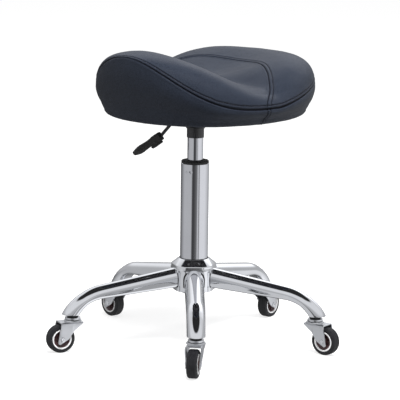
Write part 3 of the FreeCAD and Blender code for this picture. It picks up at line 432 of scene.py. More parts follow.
class Bench:
    """Modelling moves, made with Blender's operators."""

    @staticmethod
    def focus(*pieces: Piece) -> None:
        """Selects pieces alone, the first of them active.

        Args:
            pieces: what to select.
        """
        bpy.ops.object.select_all(action="DESELECT")
        bpy.context.view_layer.objects.active = pieces[0]
        for piece in pieces:
            piece.select_set(True)

    @classmethod
    def edit(cls, piece: Piece) -> None:
        """Opens a piece for editing with all of it selected.

        Args:
            piece: what to edit.
        """
        cls.focus(piece)
        bpy.ops.object.mode_set(mode="EDIT")
        bpy.ops.mesh.select_all(action="SELECT")

    @classmethod
    def start(cls, name: str, add: Callable[[], object]) -> Piece:
        """Adds a primitive on its own and opens it for editing.

        Args:
            name: name of the new piece.
            add: adds the primitive.

        Returns:
            The new object, in edit mode with all of it selected.
        """
        bpy.ops.object.select_all(action="DESELECT")
        add()
        piece = bpy.context.object
        piece.name = piece.data.name = name
        cls.edit(piece)
        return piece

    @staticmethod
    def close() -> None:
        """Merges doubles, turns faces outwards and leaves edit mode."""
        bpy.ops.mesh.select_all(action="SELECT")
        bpy.ops.mesh.remove_doubles(threshold=MERGE)
        bpy.ops.mesh.normals_make_consistent(inside=False)
        bpy.ops.object.mode_set(mode="OBJECT")

    @classmethod
    def lathe(cls, name: str, outline: Outline, steps: int = 96) -> Piece:
        """Spins a closed outline about the Z axis.

        Args:
            name: name of the piece.
            outline: (radius, height) points in millimetres.
            steps: segments of the turn.

        Returns:
            The turned piece.
        """
        points = [Vector((r * MM, 0.0, z * MM)) for r, z in outline]
        piece = cls.start(name, lambda: bpy.ops.mesh.primitive_plane_add(size=MM))
        bpy.ops.mesh.merge(type="CENTER")
        bpy.ops.transform.translate(value=points[0])
        for before, after in zip(points, points[1:] + points[:1]):
            bpy.ops.mesh.extrude_region_move(TRANSFORM_OT_translate={"value": after - before})
        bpy.ops.mesh.select_all(action="SELECT")
        bpy.ops.mesh.remove_doubles(threshold=MERGE)
        bpy.ops.mesh.spin(steps=steps, angle=2 * math.pi, center=(0, 0, 0), axis=(0, 0, 1))
        cls.close()
        return piece

    @classmethod
    def loft(cls, name: str, rings: Sequence[Sequence[Vector]]) -> Piece:
        """Extrudes a ring from station to station, capped at both ends.

        Args:
            name: name of the piece.
            rings: rings of equal length, in metres.

        Returns:
            The lofted piece.
        """
        circle = {"vertices": len(rings[0]), "radius": 1.0, "fill_type": "NGON"}
        piece = cls.start(name, lambda: bpy.ops.mesh.primitive_circle_add(**circle))
        mesh = bmesh.from_edit_mesh(piece.data)
        in_turn = sorted(mesh.verts, key=lambda v: math.atan2(v.co.y, v.co.x) % (2 * math.pi))
        for vert, point in zip(in_turn, rings[0]):
            vert.co = point
        bmesh.update_edit_mesh(piece.data)
        for before, after in zip(rings, rings[1:]):
            bpy.ops.mesh.extrude_region_move()
            mesh = bmesh.from_edit_mesh(piece.data)
            tree = search_tree(before)
            for vert in [v for v in mesh.verts if v.select]:
                vert.co = after[tree.find(vert.co)[1]]
            bmesh.update_edit_mesh(piece.data)
        cls.close()
        return piece

    @staticmethod
    def from_faces(name: str, verts: Sequence[Vector], faces: Sequence[tuple[int, ...]]) -> Piece:
        """A piece from points and faces.

        Args:
            name: name of the piece.
            verts: its points, in metres.
            faces: its faces, as numbers of points.

        Returns:
            The new object.
        """
        mesh = bpy.data.meshes.new(name)
        mesh.from_pydata(verts, [], faces)
        piece = bpy.data.objects.new(name, mesh)
        bpy.context.scene.collection.objects.link(piece)
        return piece

    @classmethod
    def copy_cad(cls, name: str, node: str) -> Piece:
        """A merged copy of a CAD node, with its flat faces made whole.

        Args:
            name: name of the piece.
            node: name of the CAD node.

        Returns:
            The copy.
        """
        piece = bpy.data.objects.new(name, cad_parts[node].data.copy())
        bpy.context.scene.collection.objects.link(piece)
        cls.edit(piece)
        bpy.ops.mesh.remove_doubles(threshold=CAD_MERGE)
        bpy.ops.mesh.dissolve_limited(angle_limit=CAD_FLAT)
        bpy.ops.object.mode_set(mode="OBJECT")
        return piece

    @staticmethod
    def duplicate(piece: Piece, name: str, move: Matrix) -> Piece:
        """A moved copy with its own mesh.

        Args:
            piece: the pattern.
            name: name of the copy.
            move: from the pattern's place to the copy's.

        Returns:
            The copy.
        """
        twin = bpy.data.objects.new(name, piece.data.copy())
        twin.data.name = name
        twin.data.transform(move)
        bpy.context.scene.collection.objects.link(twin)
        return twin

    @classmethod
    def join(cls, name: str, pieces: Sequence[Piece]) -> Piece:
        """One object from several.

        Args:
            name: name of the whole.
            pieces: what to join.

        Returns:
            The whole.
        """
        cls.focus(*pieces)
        bpy.ops.object.join()
        pieces[0].name = pieces[0].data.name = name
        return pieces[0]

    @classmethod
    def apply(cls, piece: Piece, kind: str, **settings: object) -> None:
        """Adds a modifier and applies it.

        Args:
            piece: what to modify.
            kind: the modifier's type.
            settings: its properties.
        """
        cls.focus(piece)
        modifier = piece.modifiers.new(kind.lower(), kind)
        for key, value in settings.items():
            setattr(modifier, key, value)
        bpy.ops.object.modifier_apply(modifier=modifier.name)

    @classmethod
    def soften(cls, piece: Piece, radius: float, angle: float = 30.0, segments: int = 3) -> None:
        """Rounds edges sharper than an angle, with a radius in millimetres, and shades the piece smooth."""
        cls.apply(piece, "BEVEL", width=radius * MM, segments=segments, limit_method="ANGLE",
                  angle_limit=math.radians(angle), use_clamp_overlap=True, harden_normals=False)
        cls.smooth(piece)

    @classmethod
    def smooth(cls, piece: Piece, angle: float = 35.0) -> None:
        """Shades a piece smooth except at sharp edges."""
        cls.focus(piece)
        bpy.ops.object.shade_smooth_by_angle(angle=math.radians(angle))

    @classmethod
    def trim(cls, piece: Piece, point: Vector, normal: Vector) -> None:
        """Cuts away what lies on the normal's side of a plane and fills the cut.

        Args:
            piece: what to cut.
            point: a point of the plane.
            normal: the plane's normal.
        """
        cls.edit(piece)
        bpy.ops.mesh.bisect(plane_co=point, plane_no=normal, use_fill=True, clear_outer=True)
        cls.close()

    @classmethod
    def divide(cls, piece: Piece, normal: Vector, stations: Sequence[float]) -> None:
        """Adds edges where planes cross a piece.

        Args:
            piece: what to divide.
            normal: the planes' normal.
            stations: their distances from the origin, in millimetres.
        """
        cls.edit(piece)
        for station in stations:
            bpy.ops.mesh.select_all(action="SELECT")
            bpy.ops.mesh.bisect(plane_co=normal * (station * MM), plane_no=normal)
        bpy.ops.object.mode_set(mode="OBJECT")


def seat_on(piece: Piece, body: str, slot: str, look: Look, *nodes: str) -> None:
    """Paints a finished piece, hangs it on its body and lets it stand for its nodes.

    Args:
        piece: the finished piece.
        body: body that it moves with.
        slot: record slot of its finish; not used.
        look: its finish.
        nodes: CAD nodes that it stands for.
    """
    look.paint(piece)
    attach(piece, body)
    if nodes:
        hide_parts(*nodes)
    LOG.info("%s on %s: %d faces", piece.name, body, len(piece.data.polygons))


def soften_cad(name: str, node: str, radius: float, body: str, slot: str, look: Look) -> None:
    """Dresses a copy of a CAD node with softened edges.

    Args:
        name: name of the piece.
        node: CAD node that it copies and stands for.
        radius: radius of its edges, in millimetres.
        body: body that it moves with.
        slot: record slot of its finish.
        look: its finish.
    """
    piece = Bench.copy_cad(name, node)
    Bench.soften(piece, radius)
    seat_on(piece, body, slot, look, node)


def search_tree(points: Sequence[Vector]) -> KDTree:
    """A tree that finds the nearest of some points.

    Args:
        points: the points.

    Returns:
        The balanced tree.
    """
    tree = KDTree(len(points))
    for index, point in enumerate(points):
        tree.insert(point, index)
    tree.balance()
    return tree


def polar(radius: float, angle: float) -> Vector:
    """A point of the ground plane, from its radius and its angle in radians."""
    return Vector((radius * math.cos(angle), radius * math.sin(angle), 0.0))


def turn_z(degrees: float) -> Matrix:
    """A turn about the Z axis."""
    return Matrix.Rotation(math.radians(degrees), 4, "Z")


def ease(share: float) -> float:
    """Eases from 0 to 1."""
    share = min(max(share, 0.0), 1.0)
    return share * share * (3 - 2 * share)


@dataclass
class SewnLine:
    """A line of sewing on the cover, and how it shapes the cover there. Sizes are in millimetres.

    It pulls the cover in by a depth over a width, raises a soft lip beside that, and paints shade into the
    crease.
    """

    points: list[Vector]
    depth: float
    width: float
    # strength of the shade painted into the crease
    dark: float
    lip: float
    threaded: bool = False
    reach: float = 9.0
    lip_gap: float = 2.9
    lip_width: float = 1.5
    # distance over which the painted shade stays full, then the distance over which it fades
    crease: float = 0.5
    crease_shade_fade: float = 0.8
    tree: KDTree = field(init=False)

    def __post_init__(self) -> None:
        """Builds the search tree."""
        self.tree = search_tree(self.points)

    def gap(self, point: Vector) -> float:
        """Distance of a point, in millimetres."""
        return self.tree.find(point)[2] / MM

    def effect(self, point: Vector) -> tuple[float, float]:
        """What the sewing does at a point of the cover.

        Args:
            point: the point.

        Returns:
            Its pull inwards in millimetres, and the strength of the shade painted into the crease.
        """
        gap = self.gap(point)
        if gap >= self.reach:
            return 0.0, 0.0
        lip = self.lip * math.exp(-(((gap - self.lip_gap) / self.lip_width) ** 2))
        pull = self.depth * math.exp(-((gap / self.width) ** 2)) - lip
        return pull, self.dark * (1 - ease((gap - self.crease) / self.crease_shade_fade))


@dataclass
class SaddleSeat:
    """The padded saddle: its sewn cover, the stitching, and the cloth under it.

    Sizes are in millimetres. A turn is an angle from the front, in radians.
    """

    front: float = 191.0
    rear: float = 204.0
    half_width: float = 184.0
    setback: float = 19.5
    squareness: float = 2.1
    foot: float = 415.0
    hollow: float = 478.6
    crest_at: float = 0.78
    front_seam: float = 529.0
    side_seam: float = 445.0
    rear_seam: float = 482.0
    front_crest: float = 534.5
    side_crest: float = 470.0
    rear_crest: float = 516.0
    side_blend: float = 0.15
    front_seam_power: float = 4.0
    front_crest_power: float = 1.27
    rear_crest_power: float = 1.9
    belly: float = 2.8
    belly_pace: float = 1.3
    draw_in: float = 14.6
    draw_in_power: float = 2.2
    corner: float = 9.0
    corner_share: float = 0.3
    lip_width: float = 40.0
    around: int = 420
    steps: tuple = (54, 34, 26, 12)
    pad_around: int = 160
    pad_steps: tuple = (14, 10, 10, 6)
    pad_voxel: float = 5.0
    swell_start: float = 4.0
    swell_cap: float = 9.0
    swell_frames: int = 20
    swell_pressure: float = 4.0
    swell_stiffness: float = 25.0
    board_grip: float = 6.0
    probe: float = 30.0
    smoothing: int = 90
    fade_height: float = 30.0
    settle_cap: float = 2.5
    settle_share: float = 0.5
    pucker_scales: tuple = ((55.0, 0.25), (18.0, 0.35))
    panel_depth: float = 104.0
    panel_reach: float = 113.0
    panel_power: float = 2.1
    panel_points: int = 420
    panel_overrun: float = 1.02
    seam_points: int = 1400
    seam_step: float = 0.02
    seam_near: float = 5.0
    panel_near: float = 6.0
    side_points: int = 60
    stitch_offset: float = 6.2
    stitch_pitch: float = 5.0
    stitch_length: float = 3.7
    stitch_lift: float = 0.18
    stitch_bow: float = 0.55
    thread: float = 0.85
    cloth_inset: float = 36.4
    cloth_clearance: float = 0.6
    cloth_around: int = 120
    cloth_rows: int = 14
    cloth_sag: float = 0.15
    ripple: float = 0.35
    ripple_scale: float = 24.0

    def reach(self, turn: float) -> float:
        """Plan radius of the seat.

        Args:
            turn: angle from the front.

        Returns:
            The radius at the seam.
        """
        length = self.front if math.cos(turn) > 0 else self.rear
        along, across = abs(math.cos(turn) / length), abs(math.sin(turn) / self.half_width)
        return (along**self.squareness + across**self.squareness) ** (-1 / self.squareness)

    def fade(self, lean: float) -> float:
        """How far a lean is from the sides, 0 to 1, blended softly at the sides."""
        return lean * lean * (1 + self.side_blend) / (abs(lean) + self.side_blend)

    def seam(self, turn: float) -> float:
        """Height of the perimeter seam.

        Args:
            turn: angle from the front.

        Returns:
            The height.
        """
        lean = math.cos(turn)
        if lean > 0:
            return self.side_seam + (self.front_seam - self.side_seam) * lean**self.front_seam_power
        return self.side_seam + (self.rear_seam - self.side_seam) * self.fade(lean)

    def crest(self, turn: float) -> float:
        """Height of the crest inside the seam.

        Args:
            turn: angle from the front.

        Returns:
            The height.
        """
        lean = math.cos(turn)
        if lean > 0:
            rise = self.fade(lean) ** self.front_crest_power
            return self.side_crest + (self.front_crest - self.side_crest) * rise
        rise = 1 - (1 - self.fade(lean)) ** self.rear_crest_power
        return self.side_crest + (self.rear_crest - self.side_crest) * rise

    def at(self, turn: float, radius: float, height: float) -> Vector:
        """A point in metres."""
        x, y = radius * math.sin(turn), self.setback - radius * math.cos(turn)
        return Vector((x * MM, y * MM, height * MM))

    def top(self, turn: float, share: float) -> Vector:
        """A point of the top.

        Args:
            turn: angle from the front.
            share: 0 at the middle, 1 at the seam.

        Returns:
            The point.
        """
        crest, seam, radius = self.crest(turn), self.seam(turn), self.reach(turn) * share
        if share <= self.crest_at:
            rise = ease(share / self.crest_at)
            return self.at(turn, radius, self.hollow + (crest - self.hollow) * rise)
        past = min((share - self.crest_at) / (1 - self.crest_at), 1.0)
        return self.at(turn, radius, seam + (crest - seam) * math.sqrt(1 - past * past))

    def band(self, turn: float, share: float) -> Vector:
        """A point of the side band.

        Args:
            turn: angle from the front.
            share: 0 at the seam, 1 at the foot.

        Returns:
            The point.
        """
        seam, low = self.seam(turn), self.foot + self.corner
        bulge = self.belly * math.sin(math.pi * min(self.belly_pace * share, 1.0))
        bulge -= self.draw_in * share**self.draw_in_power
        return self.at(turn, self.reach(turn) + bulge, seam + (low - seam) * share)

    def under(self, turn: float, share: float) -> Vector:
        """A point of the turned-in foot.

        Args:
            turn: angle from the front.
            share: 0 at the band's end, 1 at the inner edge.

        Returns:
            The point.
        """
        radius = self.reach(turn) - self.draw_in
        if share < self.corner_share:
            angle = math.pi / 2 * share / self.corner_share
            height = self.foot + self.corner * (1 - math.sin(angle))
            return self.at(turn, radius - self.corner * (1 - math.cos(angle)), height)
        inner = (share - self.corner_share) / (1 - self.corner_share)
        return self.at(turn, radius - self.corner - (self.lip_width - self.corner) * inner, self.foot)

    def rows(self, steps: tuple[int, int, int, int]) -> list[tuple[Callable[[float, float], Vector], float]]:
        """Stations from the middle of the top to the turned-in edge.

        Args:
            steps: steps on the top's inner part, its shoulder, the band and the foot.

        Returns:
            (part, share) pairs.
        """
        inner, shoulder, band, under = steps
        stations = [(self.top, self.crest_at * i / inner) for i in range(1, inner + 1)]
        angles = [math.pi / 2 * i / shoulder for i in range(1, shoulder + 1)]
        stations += [(self.top, self.crest_at + (1 - self.crest_at) * math.sin(a)) for a in angles]
        stations += [(self.band, i / band) for i in range(1, band + 1)]
        stations += [(self.under, i / under) for i in range(1, under + 1)]
        return stations

    def grid(self, name: str, around: int, steps: tuple[int, int, int, int], closed: bool) -> Piece:
        """The cover's plain form as a polar grid.

        Args:
            name: name of the mesh.
            around: columns round the seat.
            steps: steps along each part.
            closed: closes the underside.

        Returns:
            The new object.
        """
        stations = self.rows(steps)
        verts = [self.at(0.0, 0.0, self.hollow)]
        for part, share in stations:
            verts += [part(2 * math.pi * i / around, share) for i in range(around)]
        following = [(i + 1) % around for i in range(around)]
        faces = [(0, 1 + i, 1 + j) for i, j in enumerate(following)]
        for row in range(len(stations) - 1):
            low = 1 + row * around
            high = low + around
            faces += [(low + i, high + i, high + j, low + j) for i, j in enumerate(following)]
        if closed:
            last = 1 + (len(stations) - 1) * around
            faces.append(tuple(last + i for i in reversed(range(around))))
        piece = Bench.from_faces(name, verts, faces)
        Bench.edit(piece)
        bpy.ops.mesh.normals_make_consistent(inside=False)
        bpy.ops.object.mode_set(mode="OBJECT")
        return piece

    def swollen(self) -> BVHTree:
        """Blows a slightly smaller copy of the form up as cloth.

        Returns:
            The swollen surface, for the cover to lie on.
        """
        pad = self.grid("pad_form", self.pad_around, self.pad_steps, True)
        normals = [v.normal.copy() for v in pad.data.vertices]
        for vert, normal in zip(pad.data.vertices, normals):
            vert.co -= normal * self.swell_start * MM
        Bench.apply(pad, "REMESH", mode="VOXEL", voxel_size=self.pad_voxel * MM)
        start = [v.co.copy() for v in pad.data.vertices]
        low = min(point.z for point in start)
        held = pad.vertex_groups.new(name="board")
        held.add([i for i, point in enumerate(start) if point.z < low + self.board_grip * MM], 1.0, "REPLACE")
        cloth = pad.modifiers.new("swell", "CLOTH")
        settings = cloth.settings
        settings.use_pressure = True
        settings.uniform_pressure_force = self.swell_pressure
        settings.effector_weights.gravity = 0.0
        settings.vertex_group_mass = "board"
        settings.quality = 5
        settings.tension_stiffness = settings.compression_stiffness = self.swell_stiffness
        cloth.point_cache.frame_start = 1
        cloth.point_cache.frame_end = self.swell_frames
        scene = bpy.context.scene
        for step in range(1, self.swell_frames + 1):
            scene.frame_set(step)
        shaped = pad.evaluated_get(bpy.context.evaluated_depsgraph_get()).to_mesh()
        faces = [tuple(p.vertices) for p in shaped.polygons]
        final = []
        for before, vert in zip(start, shaped.vertices):
            move = vert.co - before
            final.append(before + move * min(1.0, self.swell_cap * MM / max(move.length, 1e-9)))
        scene.frame_set(1)
        mean = sum((a - b).length for a, b in zip(final, start)) / len(start) / MM
        LOG.info("pad swelled by %.1f mm on average", mean)
        bpy.data.objects.remove(pad)
        return BVHTree.FromPolygons(final, faces)

    def panel_line(self, offset: float) -> list[Vector]:
        """The seam that bounds the rear panel, from side to side across the top.

        Args:
            offset: distance towards the rear, in millimetres.

        Returns:
            Points about a millimetre apart.
        """
        points = []
        power = self.panel_power
        for i in range(self.panel_points + 1):
            x = self.half_width * self.panel_overrun * (2 * i / self.panel_points - 1)
            share = abs(x) / self.half_width
            y = self.panel_depth - self.panel_reach * share**power
            slope = -self.panel_reach * power * share ** (power - 1) / self.half_width
            slope = math.copysign(slope, -x) if x else 0.0
            across = math.hypot(1.0, slope)
            px, py = x + offset * -slope / across, y + offset / across
            turn = math.atan2(px, self.setback - py)
            part = math.hypot(px, self.setback - py) / self.reach(turn)
            if part <= 1.0:
                points.append(self.top(turn, part))
        return points

    def side_line(self, end: Vector, offset: float) -> list[Vector]:
        """The band seam below one end of the rear panel's seam.

        Args:
            end: that end.
            offset: distance towards the rear, in millimetres.

        Returns:
            Points down the band and round the foot's corner.
        """
        x, y = end.x / MM, end.y / MM
        turn = math.atan2(x, self.setback - y)
        turn += math.copysign(offset, x) / self.reach(turn)
        down = [self.band(turn, i / self.side_points) for i in range(self.side_points + 1)]
        return down + [self.under(turn, i / 20) for i in range(8)]

    def ring_line(self, above: float) -> list[Vector]:
        """The perimeter seam, or a line above it on the top.

        Args:
            above: distance along the top, in millimetres.

        Returns:
            Points all round.
        """
        points = []
        for i in range(self.seam_points):
            turn = 2 * math.pi * i / self.seam_points
            point = self.top(turn, 1.0)
            travelled, angle = 0.0, math.pi / 2
            while travelled < above * MM and angle > 0.0:
                angle -= self.seam_step
                following = self.top(turn, self.crest_at + (1 - self.crest_at) * math.sin(angle))
                travelled += (following - point).length
                point = following
            points.append(point)
        return points

    def settle(self, mesh: bpy.types.Mesh, rest: Sequence[Vector], normals: Sequence[Vector]) -> np.ndarray:
        """How far the swollen pad lifts each point of the cover, evened out and faded towards the foot.

        Args:
            mesh: the cover.
            rest: its points.
            normals: its normals.

        Returns:
            Lifts in metres.
        """
        count = len(rest)
        lift = np.zeros(count)
        pad = self.swollen()
        probe = self.probe * MM
        for index, (point, normal) in enumerate(zip(rest, normals)):
            hit = pad.ray_cast(point + normal * probe, -normal, 2 * probe)
            lift[index] = probe - hit[3] if hit[0] is not None else 0.0
        ends = np.array([tuple(edge.vertices) for edge in mesh.edges])
        one, other = ends[:, 0], ends[:, 1]
        degree = np.bincount(ends.ravel(), minlength=count)
        for _ in range(self.smoothing):
            total = np.bincount(one, lift[other], count) + np.bincount(other, lift[one], count)
            lift = 0.5 * lift + 0.5 * total / degree
        low = self.foot + self.corner
        fades = np.array([ease((point.z / MM - low) / self.fade_height) for point in rest])
        lift = (lift - np.average(lift, weights=fades + 1e-6)) * fades * self.settle_share
        LOG.info("cover settles by %.1f to %.1f mm", lift.min() / MM, lift.max() / MM)
        return np.clip(lift, -self.settle_cap * MM, self.settle_cap * MM)

    def sewing(self) -> list[SewnLine]:
        """Every sewn line of the cover.

        Returns:
            The perimeter's seam and stitching, the rear panel's, then the band's at both sides.
        """
        # dark: how much shade is painted into each crease, full at the seams and less at the stitching
        seam = {"width": 1.1, "dark": 1.0}
        thread = {"depth": 0.8, "width": 0.9, "dark": 0.85, "lip": 0.2, "threaded": True}
        panel = self.panel_line(0.0)
        lines = [
            SewnLine(self.ring_line(0.0), depth=1.5, lip=0.45, **seam),
            SewnLine(self.ring_line(self.stitch_offset), **thread),
            SewnLine(panel, depth=1.4, lip=0.4, **seam),
            SewnLine(self.panel_line(self.stitch_offset), **thread),
        ]
        for end in (panel[0], panel[-1]):
            lines.append(SewnLine(self.side_line(end, 0.0), depth=1.2, lip=0.3, **seam))
            lines.append(SewnLine(self.side_line(end, self.stitch_offset), **thread))
        return lines

    @staticmethod
    def refine(mesh: bpy.types.Mesh, lines: Sequence[SewnLine], near: float, cuts: int) -> None:
        """Splits the faces near sewn lines.

        Args:
            mesh: the cover.
            lines: sewn lines.
            near: distance in millimetres.
            cuts: cuts on each edge.
        """
        work = bmesh.new()
        work.from_mesh(mesh)
        close = [f for f in work.faces if any(line.gap(f.calc_center_median()) < near for line in lines)]
        edges = list({edge for face in close for edge in face.edges})
        bmesh.ops.subdivide_edges(work, edges=edges, cuts=cuts, use_grid_fill=True)
        work.normal_update()
        work.to_mesh(mesh)
        work.free()

    def build(self) -> None:
        """Makes the cover, its stitching and the cloth below."""
        cover = self.grid("saddle_cover", self.around, self.steps, False)
        mesh = cover.data
        lines = self.sewing()
        self.refine(mesh, lines[:2], self.seam_near, 1)
        self.refine(mesh, lines[2:], self.panel_near, 3)
        normals = [v.normal.copy() for v in mesh.vertices]
        rest = [v.co.copy() for v in mesh.vertices]
        lift = self.settle(mesh, rest, normals)
        # the crease attribute carries the painted shade along the sewing to the leathercloth
        crease = mesh.attributes.new("crease", "FLOAT", "POINT")
        dark = []
        for index, (point, normal) in enumerate(zip(rest, normals)):
            effects = [line.effect(point) for line in lines]
            dark.append(max(shade for _, shade in effects))
            pucker = sum(noise.noise(point * scale) * height for scale, height in self.pucker_scales)
            raised = pucker - sum(pull for pull, _ in effects)
            mesh.vertices[index].co = point + normal * (lift[index] + raised * MM)
        crease.data.foreach_set("value", dark)
        Bench.smooth(cover, 60.0)
        seat_on(cover, "seat", "cover", Look.LEATHER, "seat_cover", "seat_foam")
        faces = [tuple(p.vertices) for p in mesh.polygons]
        surface = BVHTree.FromPolygons([v.co.copy() for v in mesh.vertices], faces)
        sewn = [line.points for line in lines if line.threaded]
        sewn[0] = sewn[0] + sewn[0][:1]
        self.stitch(sewn, surface)
        self.dust_cloth()

    def stitch(self, runs: Sequence[list[Vector]], surface: BVHTree) -> None:
        """Lays thread along the sewn lines.

        Args:
            runs: lines of points.
            surface: the finished cover.
        """
        ball = {"segments": 8, "ring_count": 6, "radius": 1.0}
        one = Bench.start("stitch", lambda: bpy.ops.mesh.primitive_uv_sphere_add(**ball))
        half, thread, pitch = self.stitch_length * MM / 2, self.thread * MM, self.stitch_pitch * MM
        bpy.ops.transform.resize(value=(thread / 2, thread / 2, half))
        bpy.ops.object.mode_set(mode="OBJECT")
        shape = [v.co.copy() for v in one.data.vertices]
        sides = [tuple(p.vertices) for p in one.data.polygons]
        verts: list[Vector] = []
        faces: list[tuple[int, ...]] = []
        for run in runs:
            travelled, due = 0.0, pitch
            for before, after in zip(run, run[1:]):
                travelled += (after - before).length
                if travelled < due:
                    continue
                due += pitch
                place, normal, _, _ = surface.find_nearest(after)
                turn = (after - before).normalized().to_track_quat("Z", "Y").to_matrix()
                centre = place + normal * thread * self.stitch_lift
                faces += [tuple(len(verts) + i for i in side) for side in sides]
                for co in shape:
                    verts.append(centre + turn @ co - normal * (co.z / half) ** 2 * thread * self.stitch_bow)
        bpy.data.objects.remove(one)
        piece = Bench.from_faces("seat_stitching", verts, faces)
        Bench.smooth(piece, 80.0)
        seat_on(piece, "seat", "cover", Look.THREAD)

    def dust_cloth(self) -> None:
        """Stretches the thin cloth under the seat, cut out round the plate."""
        low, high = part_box("dust_cover")
        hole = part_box("seat_plate")[1].x + self.cloth_clearance * MM
        around, rows = self.cloth_around, self.cloth_rows
        verts, faces = [], []
        for row in range(rows + 1):
            for i in range(around):
                turn = 2 * math.pi * i / around
                rim = self.at(turn, self.reach(turn) - self.cloth_inset, 0.0)
                point = (rim.normalized() * hole).lerp(rim, row / rows)
                sag = self.cloth_sag + self.ripple * noise.noise(point * self.ripple_scale)
                sag *= math.sin(math.pi * row / rows)
                verts.append(Vector((point.x, point.y, (low.z + high.z) / 2 - sag * MM)))
        for row in range(rows):
            for i in range(around):
                a, b = row * around + i, row * around + (i + 1) % around
                faces.append((a, b, b + around, a + around))
        piece = Bench.from_faces("dust_cloth", verts, faces)
        Bench.smooth(piece, 60.0)
        seat_on(piece, "seat", "dust_cloth", Look.DUST_CLOTH, "dust_cover")


@dataclass
class StarBase:
    """Hub and arched legs. Sizes are in millimetres, angles in degrees."""

    legs: int = LEGS
    turn: float = FIRST_LEG
    stem_circle: float = STEM_CIRCLE
    toe: float = 5.6
    slope: float = 7.3
    foot_slope: float = 59.0
    tail: float = 12.0
    bend: float = 80.0
    root_height: float = 33.0
    root_depth: float = 10.0
    waist_height: float = 20.0
    waist_slope: float = 32.0
    foot_height: float = 24.0
    root_width: float = 35.0
    foot_width: float = 32.0
    corner: float = 5.0
    arch: float = 0.6
    body_flat: float = 37.4
    body_waist: float = 1.0
    rim_flat: float = 38.0
    hub_corner: float = 25.0
    body_corner: float = 21.0
    neck: float = 27.0
    rim_height: float = 6.0
    cone_height: float = 10.4
    # painted shade band at each leg's root: its width, sink into the hub, rise and overlap
    shade_band_width: float = 1.8
    shade_band_sink: float = 3.0
    shade_band_proud: float = 0.7
    shade_band_overlap: float = 1.5
    column: float = 25.02
    # painted shade ring at the column's foot: its width, depth, height and edge
    hub_shade_width: float = 0.88
    hub_shade_depth: float = 0.4
    hub_shade_height: float = 0.8
    hub_shade_edge: float = 0.3
    straight_steps: int = 16
    bend_steps: int = 26

    def ring(self, out: float, up: float, slope: float, height: float, width: float) -> list[Vector]:
        """One arched section, square to the leg's centre line.

        Args:
            out: distance from the hub's axis.
            up: height of the centre line.
            slope: its fall in degrees.
            height: the section's height.
            width: its width.

        Returns:
            The ring's points.
        """
        half, low, high, corner = width / 2, -height / 2, height / 2, self.corner
        rise = min(self.arch * height, half * 0.98)
        spring = high - rise
        radius = (half * half + rise * rise) / (2 * rise)
        centre = high - radius
        spread = math.asin(min(half / radius, 1.0))
        angles = [math.pi / 2 * i / 4 for i in range(5)]
        bends = [(half - corner + corner * math.sin(a), low + corner - corner * math.cos(a)) for a in angles]
        sweep = [spread - 2 * spread * i / 24 for i in range(25)]
        outline = [(-half + corner + (width - 2 * corner) * i / 6, low) for i in range(7)]
        outline += bends[1:]
        outline += [(half, low + corner + (spring - low - corner) * i / 3) for i in range(1, 3)]
        outline += [(radius * math.sin(a), centre + radius * math.cos(a)) for a in sweep]
        outline += [(-half, spring + (low + corner - spring) * i / 3) for i in range(1, 3)]
        outline += [(-u, v) for u, v in reversed(bends[1:])]
        sine, cosine = math.sin(math.radians(slope)), math.cos(math.radians(slope))
        return [Vector(((out + v * sine) * MM, u * MM, (up + v * cosine) * MM)) for u, v in outline]

    def bend_start(self, foot_z: float) -> tuple[float, float]:
        """Where a leg's centre line starts to bend.

        Args:
            foot_z: height of the foot.

        Returns:
            Its distance from the hub's axis, and its height.
        """
        start, end = math.radians(self.slope), math.radians(self.foot_slope)
        out = self.stem_circle + self.toe - self.bend * (math.sin(end) - math.sin(start))
        return out, foot_z + self.bend * (math.cos(start) - math.cos(end))

    def root_level(self, foot_z: float) -> float:
        """Height of a leg's centre line where it meets the hub."""
        bend_r, bend_z = self.bend_start(foot_z)
        return bend_z + (bend_r - self.body_flat) * math.tan(math.radians(self.slope))

    def root_shade_band(self, foot_z: float) -> Piece:
        """A dark band that follows the hub's round side where a leg enters it: painted shade for the shadowed
        joint, not a real part.

        Args:
            foot_z: height of the leg's foot.

        Returns:
            The shade band of a leg along +X.
        """
        corner, flat = self.body_corner, self.body_flat - self.body_waist
        straight = (flat - corner) * math.tan(math.pi / self.legs)
        level, fall = self.root_level(foot_z), math.tan(math.radians(self.slope))
        wide, proud = self.shade_band_width, self.shade_band_proud
        profile = [(wide, -self.shade_band_sink), (wide, proud - 0.5), (wide - 0.4, proud)]
        profile.append((-self.shade_band_overlap, proud))
        rings = []
        for grow, lift in profile:
            ring = []
            for point in self.ring(0.0, 0.0, 0.0, self.root_height + 2 * grow, self.root_width + 2 * grow):
                past = max(abs(point.y) / MM - straight, 0.0)
                out = flat - corner + math.sqrt(corner * corner - past * past) + lift
                up = level - (out - self.body_flat) * fall
                ring.append(Vector((out * MM, point.y, point.z + up * MM)))
            rings.append(ring)
        piece = Bench.loft("root_shade_band", rings)
        Bench.smooth(piece, 40.0)
        return piece

    def hub_neck_shade_ring(self) -> Piece:
        """A dark ring between the column's foot and the hub's neck: painted shade for the shadowed joint.

        Returns:
            The ring.
        """
        top, inner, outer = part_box("hub")[1].z / MM, self.column, self.column + self.hub_shade_width
        low, high, edge = top - self.hub_shade_depth, top + self.hub_shade_height, self.hub_shade_edge
        outline = [(inner, low), (outer, low), (outer, high - edge), (outer - edge, high), (inner, high)]
        piece = Bench.lathe("hub_neck_shade_ring", outline)
        Bench.smooth(piece, 40.0)
        return piece

